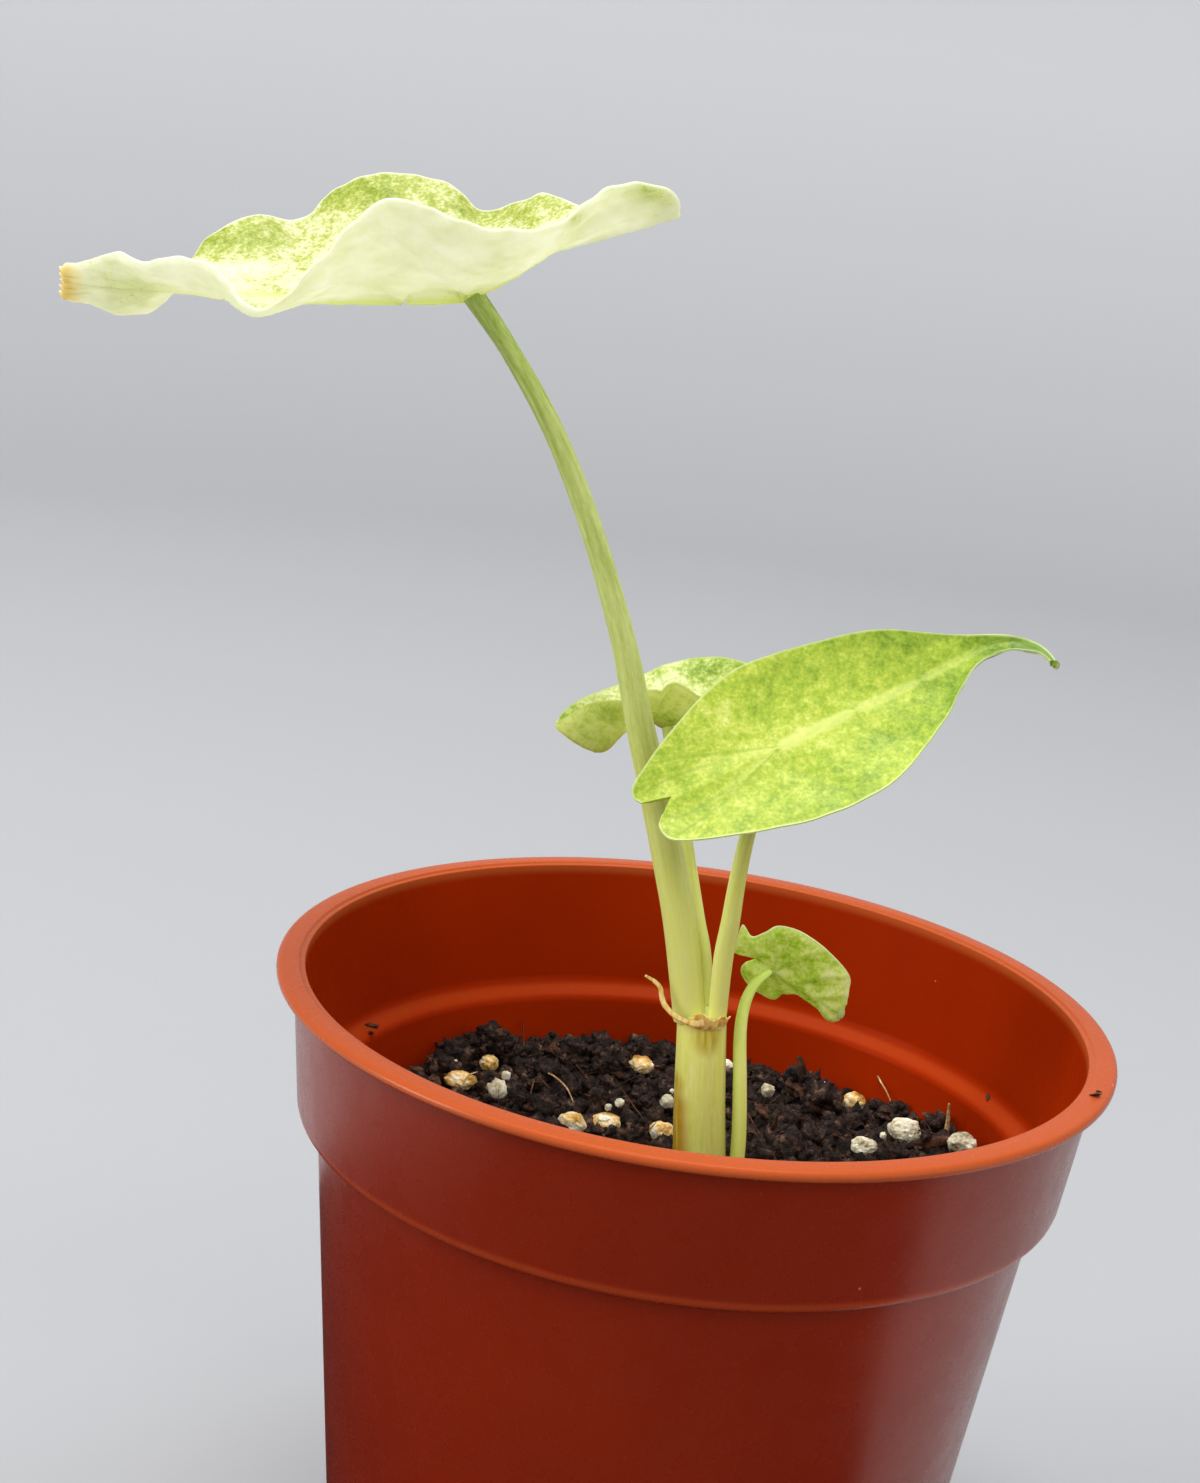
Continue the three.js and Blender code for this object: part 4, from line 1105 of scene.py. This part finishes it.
STALK_TONES = [
    (78, "d6d872"), (92, "c6c962"), (105, "a7b048"), (118, "9faa54"), (138, "909f40"), (148, "7a9314"),
]
STEM_TONES = [(60, "c6ca46"), (70, "d8dc5e"), (78, "dadc60"), (79, "dadc60")]
SMALL_TONES = [(60, "dcf05c"), (72, "eafc84"), (83, "b8e050")]
stalk_green = stalk_skin("waxy stalk skin", "d2d890", STALK_TONES)
stalk_pale = stalk_skin("young stalk skin", "f2f4a4", SMALL_TONES)
stem_pale = stalk_skin("stem sheath skin", "ecebac", STEM_TONES, [
    (0.2, -1.4, 60.4, 3.0, "b08618"), (0, -1.4, 62.6, 2.9, "b48a1a"), (-0.3, -1.4, 64.8, 2.7, "b68e1e"),
    (-0.5, -1.3, 67, 2.4, "b89224"), (-0.9, -1.2, 69.4, 1.9, "c0a030"), (2.0, -2.5, 75.4, 2.6, "bca838"),
])

# %% Make the stalks and the stem
STEM_TOP = 77.5
JOIN = 0.9
TOP_STALK = {
    "points": [
        (-0.35, 0, STEM_TOP - JOIN), (-2.6, 0, 86.4), (-4.6, 0, 93.1), (-7, 0, 100.3), (-9.6, 0, 107.6),
        (-12.3, 0, 115.9), (-15.3, 0, 123.4), (-18.7, 0, 130.8), (-22.8, 0, 138.1), (-27.8, 0, 145),
        (-32.1, 0, 150),
    ],
    "radii": [1.8, 1.82, 1.78, 1.7, 1.52, 1.36, 1.23, 1.17, 1.11, 1, 1.15],
    "steps": 110, "ribs": 0.035, "seed": 2.0,
}
MIDDLE_STALK = {
    "points": [
        (2.6, -1.2, STEM_TOP - JOIN), (2.3, -1.5, 84.1), (2.5, -2.2, 88.9), (2.6, -3.2, 93.8),
        (2.9, -4.4, 98.6), (3.5, -5.6, 104.5), (4.4, -5.8, 108.3),
    ],
    "radii": [0.98, 1.06, 1, 0.89, 0.81, 0.77, 0.8],
    "steps": 60, "ribs": 0.025, "seed": 5.0,
}
BACK_STALK = {
    "points": [
        (1, 2.7, STEM_TOP - JOIN), (0.3, 2.8, 82.6), (-1, 3.2, 86.8), (-2.4, 4, 91.4), (-3.8, 5, 96),
        (-5.4, 6.6, 101), (-7.1, 8.8, 106.1),
    ],
    "radii": [0.8, 0.8, 0.8, 0.78, 0.75, 0.7, 0.66],
    "steps": 60, "ribs": 0.025, "seed": 7.0,
}
SMALL_STALK = {
    "points": [
        (7.1, 0.1, 49.5), (7, 0, 56.5), (6.8, -0.1, 62.9), (6.1, -0.2, 69.3), (5.4, -0.1, 74.4),
        (5.2, 0.2, 77.4), (5.5, 0.7, 79.8), (6.4, 1.4, 81.5), (8.5, 3.1, 83.0),
    ],
    "radii": [0.75, 0.8, 0.82, 0.77, 0.71, 0.65, 0.6, 0.52, 0.25],
    "steps": 60, "ribs": 0.02, "seed": 9.0,
}
STEM = {
    "points": [(3.2, 0, 50), (3, 0.1, 58), (1.9, 0.3, 67.5), (0.85, 0.5, STEM_TOP)],
    "radii": [2.6, 2.95, 2.8, 2.65],
    "steps": 60, "ribs": 0.05, "seed": 11.0, "flatness": 1.06,
}
for stalk_name, stalk, skin in [
    ("top", TOP_STALK, stalk_green), ("middle", MIDDLE_STALK, stalk_green),
    ("back", BACK_STALK, stalk_green), ("small", SMALL_STALK, stalk_pale),
]:
    rod = bent_rod(sides=STALK_SIDES, **stalk)
    finish_piece(rod, f"leaf_stalk_{stalk_name}", [skin], [f"stalk_{stalk_name}"], 60)
finish_piece(bent_rod(sides=72, **STEM), "stem", [stem_pale], ["sheathed_stem"], 60)

# %% [markdown]
# ## The dried sheath
#
# The oldest sheath has dried to paper where it lets go of the stem: a short ragged strip at the front right,
# torn off into one long curl. The strip is a grid laid on an arc that flares outwards, with a torn edge
# from noise, and the curl is a flattened rod.

# %% Strip and curl
STRIP_CENTRE = Vector((0.85, 0.5, 0))
STRIP_RADIUS = 3.2
STRIP_FOOT = 76.5
STRIP_HEIGHT = 1.7
STRIP_ARC = (-102, -38)
STRIP_FLARE = 0.72
PAPER = 0.14
CURL = {
    "points": [
        (1.2, -3.2, 77.5), (0.3, -3.35, 77.3), (-0.6, -3.3, 77.4), (-1.9, -2.9, 77.7), (-3.1, -2.4, 78.5),
        (-3.6, -2, 79.3), (-3.9, -1.8, 80.2), (-4.6, -1.7, 80.8), (-5.7, -1.6, 81.3),
    ],
    "radii": [0.4, 0.34, 0.26, 0.24, 0.26, 0.24, 0.2, 0.2, 0.1],
    "sides": 14, "steps": 90, "ribs": 0.16, "seed": 3.0, "flatness": 0.6,
}


def dried_strip():
    """A flared and torn strip of papery sheath, in millimetres."""
    bm = bmesh.new()
    bmesh.ops.create_grid(bm, x_segments=70, y_segments=14, size=1)
    for v in bm.verts:
        across, height = (v.co.x + 1) / 2, (v.co.y + 1) / 2
        turn = math.radians(STRIP_ARC[0] + (STRIP_ARC[1] - STRIP_ARC[0]) * across)
        crease = 0.2 * noise.noise(Vector((across * 5, height * 1.5, 4)))
        radius = STRIP_RADIUS + STRIP_FLARE * height + crease * (0.4 + height)
        tears = 0.4 * noise.noise(Vector((across * 3, 0, 0)))
        torn = 1 + tears + 0.1 * noise.noise(Vector((across * 21, 0, 0)))
        v.co = STRIP_CENTRE + Vector((
            math.cos(turn) * radius, math.sin(turn) * radius, STRIP_FOOT + STRIP_HEIGHT * height * torn,
        ))
    thicken(bm, lambda v: PAPER)
    return bm


def papery_skin():
    """Dry yellow brown paper with darker veins: light comes through its thin torn edge."""
    material = new_material("dried papery sheath")
    place = add_node(material, "TexCoord").outputs["Object"]
    stretch = add_node(material, "Mapping", {"Vector": place, "Scale": (1, 1, 0.25)})
    grain = add_node(material, "TexNoise", {"Vector": stretch, "Scale": per_mm(0.35), "Detail": 4})
    colour = add_node(material, "ValToRGB", {"Fac": grain}, stops=[
        (0.28, "c8962c"), (0.4, "eecb62"), (0.55, "fce8a2"),
    ])
    relief = add_node(material, "Bump", {"Height": grain, "Strength": 0.5, "Distance": 0.08 * MM})
    shader = add_node(material, "BsdfPrincipled", {
        "Base Color": colour, "Roughness": 0.7, "Normal": relief, "Specular IOR Level": 0.3,
    })
    through = add_node(material, "BsdfTranslucent", {"Color": colour, "Normal": relief})
    return close_material(material, add_node(material, "MixShader", {0: 0.45, 1: shader, 2: through}))


dry_paper = papery_skin()
strip = dried_strip()
finish_piece(strip, "dried_sheath_strip", [dry_paper], ["dried_sheath"], 50)
finish_piece(bent_rod(**CURL), "dried_sheath_curl", [dry_paper], ["dried_sheath"])

# %% [markdown]
# ## The substrate
#
# Potting mix is peat and bark crumbs of every size, so its surface has no flat place. Its body is a disc of
# fine rings displaced by noise at four sizes, folded at zero so that lumps come out round and the gaps
# between them sharp. Loose crumbs from a few templates lie strewn over it. The larger clumps, fibres and
# grains that catch the eye are placed one by one.

# %% Body of the substrate
SOIL_LEVEL = 57.8
SOIL_FOOT = 1.62
WALL_CLEARANCE = 0.33
SOIL_RINGS = 110
SOIL_STEPS = 320
MOUNDS = [
    (-25, 26, 1.6, 8), (-13, 31, 1.4, 6), (32, 14, 2.8, 9), (6, 22, 1, 6), (-20, -18, 1, 9),
    (16, -24, 1.3, 8),
]
CRUMB_NOISE = [(6, 1.3), (2.6, 1.0), (1.2, 0.55), (0.6, 0.25)]


def soil_height(x, y):
    """Height of the frame's own surface: a few mounds and small clods."""
    height = SOIL_LEVEL
    for mound_x, mound_y, rise, reach in MOUNDS:
        height += rise * math.exp(-((x - mound_x) ** 2 + (y - mound_y) ** 2) / reach ** 2)
    height += 0.4 * math.sin(0.83 * x + 1.3) * math.cos(0.71 * y)
    return height + 0.3 * math.sin(1.37 * y - 0.9 * x)


def crumbly_height(x, y):
    """The same surface with crumbs of four sizes."""
    height = soil_height(x, y) - 0.5
    for size, depth in CRUMB_NOISE:
        height += depth * (2 * abs(noise.noise(Vector((x, y, 9 * size)) / size)) - 0.3)
    return height


def soil_body():
    """The closed mass of substrate that fills the pot."""
    bm = bmesh.new()
    side_top = SOIL_LEVEL - 1.5
    foot = body_radius(SOIL_FOOT) - WALL - WALL_CLEARANCE
    shoulder = body_radius(side_top) - WALL - WALL_CLEARANCE
    profile = [(0, SOIL_FOOT), (foot - 0.7, SOIL_FOOT), (foot, SOIL_FOOT + 0.8), (shoulder, side_top)]
    profile += [(shoulder * (1 - k / SOIL_RINGS), SOIL_LEVEL) for k in range(SOIL_RINGS + 1)]
    lay_chain(bm, profile)
    spin(bm, SOIL_STEPS)
    for v in bm.verts:
        if v.co.z > side_top + 0.1:
            v.co.z = crumbly_height(v.co.x, v.co.y)
    return bm


# %% [markdown]
# ### Peat, bark and pumice
#
# Damp peat is nearly black with a brown cast. Its colour changes from crumb to crumb, so the noise that
# drives it is about as large as a crumb, with a finer one for the fibres. It has hardly any gloss.

# %% Materials of the mix
def earthy(name, tones, size=2.2, relief=0.25):
    """A rough mottled material: tones change over the given size in mm, and fine grain breaks them up."""
    material = new_material(name)
    place = add_node(material, "TexCoord").outputs["Object"]
    tone = add_node(material, "TexNoise", {
        "Vector": place, "Scale": per_mm(size), "Detail": 6, "Roughness": 0.7,
    })
    colour = add_node(material, "ValToRGB", {"Fac": tone}, stops=tones)
    grain = add_node(material, "TexNoise", {"Vector": place, "Scale": per_mm(0.55), "Detail": 5})
    bump = add_node(material, "Bump", {"Height": grain, "Strength": 1.0, "Distance": relief * MM})
    shader = add_node(material, "BsdfPrincipled", {
        "Base Color": colour, "Roughness": 0.88, "Specular IOR Level": 0.2, "Normal": bump,
    })
    return close_material(material, shader)


peat = earthy(
    "damp peat", [(0.3, "0c0807"), (0.47, "1c130f"), (0.59, "3e2c24"), (0.7, "7a5c4a")], size=1.5, relief=0.6,
)
bark = earthy("composted bark", [(0.3, "1c110c"), (0.5, "3f2719"), (0.7, "765038")], size=1.6)
fibre = earthy("dry root fibre", [(0.3, "7a5433"), (0.5, "b08a5c"), (0.7, "dcc69c")], size=0.8)
tan_pumice = earthy(
    "tan pumice", [(0.34, "6a4826"), (0.43, "b8883e"), (0.51, "d8b878"), (0.6, "e6decb")], size=2.6,
)
white_pumice = earthy(
    "white pumice", [(0.32, "4c4430"), (0.42, "9c9272"), (0.54, "cfc7ae"), (0.66, "e6e2d4")], size=1.8,
)

finish_piece(soil_body(), "soil_body", [peat], ["soil"])


# %% Pumice stones
def pumice_stone(node, seed):
    """An uneven stone that fills its CAD node's box, with pores."""
    low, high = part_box(node)
    centre, half = (low + high) / (2 * MM), (high - low) / (2 * MM)
    shift = Vector((seed * 7.1, 0, 0))
    bm = bmesh.new()
    bmesh.ops.create_icosphere(bm, subdivisions=5, radius=1)
    for v in bm.verts:
        swell = 0.9 + 0.17 * noise.noise(v.co * 1.4 + shift) + 0.08 * noise.noise(v.co * 3.3 + shift)
        pore = min(0, 0.1 - abs(noise.noise(v.co * 6 + shift)) * 0.5 + 0.02)
        place = v.co * (swell + 0.35 * pore)
        v.co = centre + Vector((place.x * half.x, place.y * half.y, place.z * half.z))
    return bm


STONES = [f"pumice_{k:02d}" for k in range(1, 17)]
WHITE_STONES = {"pumice_01", "pumice_09", "pumice_10", "pumice_13", "pumice_16"}
for number, node in enumerate(STONES):
    white = node in WHITE_STONES
    finish_piece(
        pumice_stone(node, number), f"stone_{node}", [white_pumice if white else tan_pumice],
        [node],
    )

# %% [markdown]
# ### Loose crumbs
#
# A dozen templates are enough, because each copy is turned and sized at random. The draw is seeded, so
# the scene comes out the same every time.

# %% Templates and scattering
draw = random.Random(41)
OPEN_RADIUS = body_radius(SOIL_LEVEL) - WALL - 0.9


def crumb(seed, fineness, stretch=(1, 1, 1), bend=0.0, jagged=1.0):
    """One lump of about a millimetre's radius, or with a stretch and a bend a chip or a hair."""
    shift = Vector((seed * 3.3, 0, 0))
    bm = bmesh.new()
    bmesh.ops.create_icosphere(bm, subdivisions=fineness, radius=1)
    for v in bm.verts:
        swell = 0.6 * noise.noise(v.co * 1.3 + shift) + 1.1 * abs(noise.noise(v.co * 2.7 + shift))
        swell = 1 - 0.3 * jagged + jagged * (swell + 0.3 * noise.noise(v.co * 6 + shift))
        v.co = Vector((v.co.x * stretch[0], v.co.y * stretch[1], v.co.z * stretch[2])) * swell
        v.co.y += bend * v.co.x ** 2
    return to_mesh(bm, "crumb")


CLUMPS = [crumb(k, 3) for k in range(8)]
CRUMBS = [crumb(20 + k, 2) for k in range(8)]
CHIPS = [crumb(40 + k, 2, (1.9, 1.0, 0.4)) for k in range(5)]
SPLINTERS = [crumb(60 + k, 2, (3.2, 0.4, 0.35)) for k in range(4)]
PEBBLES = [crumb(90 + k, 3, jagged=0.35) for k in range(5)]
HAIRS = [crumb(80 + k, 3, (9, 0.2, 0.2), 0.012 * k) for k in range(5)]


def random_turn():
    """A random rotation."""
    return (
        Matrix.Rotation(draw.uniform(0, 2 * math.pi), 4, "Z")
        @ Matrix.Rotation(draw.uniform(-0.6, 0.6), 4, "X")
        @ Matrix.Rotation(draw.uniform(-0.6, 0.6), 4, "Y")
    )


def lay(bm, templates, place, size):
    """Adds a turned copy of a template of that radius at the place."""
    copy = draw.choice(templates).copy()
    copy.transform(Matrix.Translation(place) @ random_turn() @ Matrix.Scale(size, 4))
    bm.from_mesh(copy)
    bpy.data.meshes.remove(copy)


def kept_clear():
    """Circles that no crumb may enter: the stones, the stem and the small stalk."""
    circles = [(3.0, 0.1, 3.1), (6.9, 0.0, 0.9)]
    for node in STONES:
        low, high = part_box(node)
        centre = (low + high) / (2 * MM)
        reach = (high.x - low.x) / (2 * MM)
        circles.append((centre.x, centre.y - 0.3 * reach, 1.1 * reach))
    return circles


CIRCLES = kept_clear()


def is_clear(x, y, size):
    """Whether a crumb of this radius stays out of all the circles."""
    return all(math.hypot(x - cx, y - cy) > reach + size for cx, cy, reach in CIRCLES)


def keep_inside(bm):
    """Pulls in whatever would come through the wall of the pot."""
    for v in bm.verts:
        limit = body_radius(v.co.z) - WALL - WALL_CLEARANCE
        away = math.hypot(v.co.x, v.co.y)
        if away > limit:
            v.co.x *= limit / away
            v.co.y *= limit / away
    return bm


def strewn(count, sizes, templates):
    """A layer of crumbs at random over the whole surface."""
    bm = bmesh.new()
    laid = 0
    while laid < count:
        turn = draw.uniform(0, 2 * math.pi)
        away = OPEN_RADIUS * math.sqrt(draw.random())
        size = sizes[0] + (sizes[1] - sizes[0]) * draw.random() ** 2
        x, y = math.cos(turn) * away, math.sin(turn) * away
        if is_clear(x, y, 0.7 * size):
            lay(bm, templates, Vector((x, y, crumbly_height(x, y) + size * 0.15)), size)
            laid += 1
    return keep_inside(bm)


finish_piece(strewn(300, (0.8, 2.0), CLUMPS), "peat_clumps", [peat])
finish_piece(strewn(1900, (0.28, 0.8), CRUMBS), "peat_crumbs", [peat])
finish_piece(strewn(110, (0.35, 0.9), CHIPS), "bark_chips", [bark])
finish_piece(strewn(170, (0.3, 0.6), SPLINTERS), "bark_splinters", [bark])
finish_piece(strewn(170, (0.3, 0.55), HAIRS), "bark_hairs", [bark])
finish_piece(strewn(14, (0.25, 0.45), PEBBLES), "perlite_grains", [white_pumice])

# %% [markdown]
# ### What lies at its own place
#
# The photo shows some clumps that rise above the rest, a few fibres, a straw, a bark flake and round white
# grains. Their places were read from the photo with the fitted camera. Some crumbs have spilled on the rim
# and on the step inside, and a drop hangs at the tip of the small leaf.

# %% Tall clumps
TALL_CLUMPS = [
    (-23.5, 24, 2.9, 3.4), (-14.1, 27, 2.2, 2.0), (-9, 27.5, 2.2, 1.8), (-16.4, 21.5, 1.8, 1.3),
    (9.1, 28.5, 2.2, 2.2), (13.6, 27.9, 0.9, 3.2), (17.6, 26.5, 1.5, 1), (17.5, 15.6, 2.2, 1.4),
    (-16.1, 13.4, 1.8, 0.9), (-9.1, 15.4, 2.2, 1.2), (-27.7, 17.5, 1.6, 2.0), (32.4, 23.4, 1.7, 6.6),
    (33, 22.8, 1.1, 7), (25.4, 26, 1.6, 1.2), (2, 26, 2, 1), (-30, 14, 1.4, 1.2), (12, 19, 2, 1.2),
]


def tall_clumps(templates, share):
    """Heaps of crumbs as (x, y, reach, rise)."""
    bm = bmesh.new()
    for x, y, reach, rise in TALL_CLUMPS:
        for _ in range(round(share * (10 + reach * rise * 5))):
            turn = draw.uniform(0, 2 * math.pi)
            away = draw.random() ** 0.7
            top = soil_height(x, y) + rise * (1 - away ** 2) * draw.random() ** 0.5
            size = draw.uniform(0.4, 1.35)
            place = Vector((x + math.cos(turn) * reach * away, y + math.sin(turn) * reach * away, top))
            if math.hypot(place.x, place.y) < OPEN_RADIUS and is_clear(place.x, place.y, 0.3 * size):
                lay(bm, templates, place, size)
    return keep_inside(bm)


finish_piece(tall_clumps(CLUMPS, 0.8), "peat_heaps", [peat])
finish_piece(tall_clumps(CHIPS, 0.15), "bark_heaps", [bark])

# %% Fibres
SCRAPS = [
    ("straw", 0.3, fibre, [(30.8, 18.4, 58.6), (30.9, 18.3, 61), (30.7, 18.3, 63.9)]),
    ("pale_fibre", 0.13, fibre, [
        (-16.7, 20, 59.6), (-15.2, 17, 60.6), (-13.4, 15, 60.2), (-12.3, 13.5, 59.2),
    ]),
    ("looped_fibre", 0.1, bark, [
        (-17.2, 11.6, 58.6), (-17.3, 14, 60), (-16.9, 15.9, 60.6), (-15.1, 15.1, 59.6),
    ]),
    ("wall_fibre", 0.1, fibre, [(22.2, 34, 63), (23, 30.5, 61.4), (24.2, 28, 60.4), (25, 26.6, 59.4)]),
    ("stem_fibre", 0.09, bark, [(6, 22, 61.4), (7.2, 17, 60.6), (8.6, 13.6, 59.8), (10.2, 10.9, 58.9)]),
    ("edge_fibre", 0.12, fibre, [(-25.4, 13, 59.2), (-24.8, 14.2, 60.2), (-23.9, 15.4, 60.4)]),
    ("bark_needle", 0.22, bark, [(10.4, 13.4, 58.6), (10.9, 13.2, 60.4), (11.2, 13.1, 62)]),
    ("bark_needle_low", 0.2, bark, [(10.9, 12.6, 58.4), (11.6, 12.4, 59.6), (12.2, 12.2, 60)]),
    ("reddish_stub", 0.6, bark, [(13.6, 27.7, 59), (13.7, 27.6, 61.6), (13.2, 27.5, 63.4)]),
    ("bark_flake", 0.7, bark, [(26.9, 13.6, 60), (29.8, 14, 60.9), (33.2, 14.8, 61.2)]),
]
for seed, (scrap, thickness, material, points) in enumerate(SCRAPS):
    radii = [thickness * 0.7, thickness, thickness * 0.8, thickness * 0.35]
    rod = bent_rod(points, radii, 10, 26, ribs=thickness * 0.5, flatness=0.7, seed=seed + 0.5)
    finish_piece(rod, scrap, [material])

# %% Grains and spilled crumbs
GRAINS = [
    (-20.6, 15.8, 60.3, 0.55), (-7, 13.4, 60, 0.55), (-8.2, 12.4, 59.7, 0.4), (16.5, 27.6, 60, 0.6),
    (23.5, 14.9, 60.2, 0.4), (5, 29.5, 60, 0.8), (-1.6, 15.9, 60, 0.8), (10, 24, 59.9, 0.8),
    (-27, 18, 59.9, 0.5), (-21.3, 14, 59.1, 1.2),
]
SPILLED = [
    (41.2, -14.2, 80.2, 0.35), (41.6, -13.2, 80.2, 0.22), (-36.6, 14.6, 64.5, 0.5), (-36.9, 16.6, 64.6, 0.45),
    (-36.4, 12.9, 64.4, 0.35), (35.2, 19.4, 65, 0.35),
]


def laid(templates, places):
    """Copies of the templates at places given as (x, y, z, radius)."""
    bm = bmesh.new()
    for x, y, z, size in places:
        lay(bm, templates, Vector((x, y, z)), size)
    return bm


finish_piece(laid(PEBBLES, GRAINS), "white_grains", [white_pumice])
finish_piece(laid(CHIPS, SPILLED), "spilled_crumbs", [bark])


# %% A drop at the tip of the small leaf
def drop_piece():
    """The bead of sap that young leaves press out overnight."""
    bm = bmesh.new()
    shape = Matrix.Translation((15.8, 3.1, 78.6)) @ Matrix.Diagonal((0.42, 0.4, 0.75, 1))
    bmesh.ops.create_icosphere(bm, subdivisions=4, radius=1, matrix=shape)
    return bm


def clear_sap():
    """Clear sap with the IOR of water. Its green is painted: it stands in for the leaf that shows through the
    drop.
    """
    material = new_material("clear sap")
    tint = add_node(material, "TexNoise", {"Scale": per_mm(1)})
    # The green tint is painted: it stands for the leaf seen through the drop, not a colour of the sap.
    colour = add_node(material, "ValToRGB", {"Fac": tint}, stops=[(0.3, "c4dc84"), (0.7, "d6e8a4")])
    shader = add_node(material, "BsdfPrincipled", {
        "Base Color": colour, "Roughness": 0.08, "IOR": 1.33, "Transmission Weight": 0.4,
    })
    return close_material(material, shader)


finish_piece(drop_piece(), "sap_drop", [clear_sap()])

# %% Keep the sizes and finish
lo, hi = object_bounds()
size = {"cad": [list(cad_box[0]), list(cad_box[1])], "visual": [list(lo), list(hi)]}
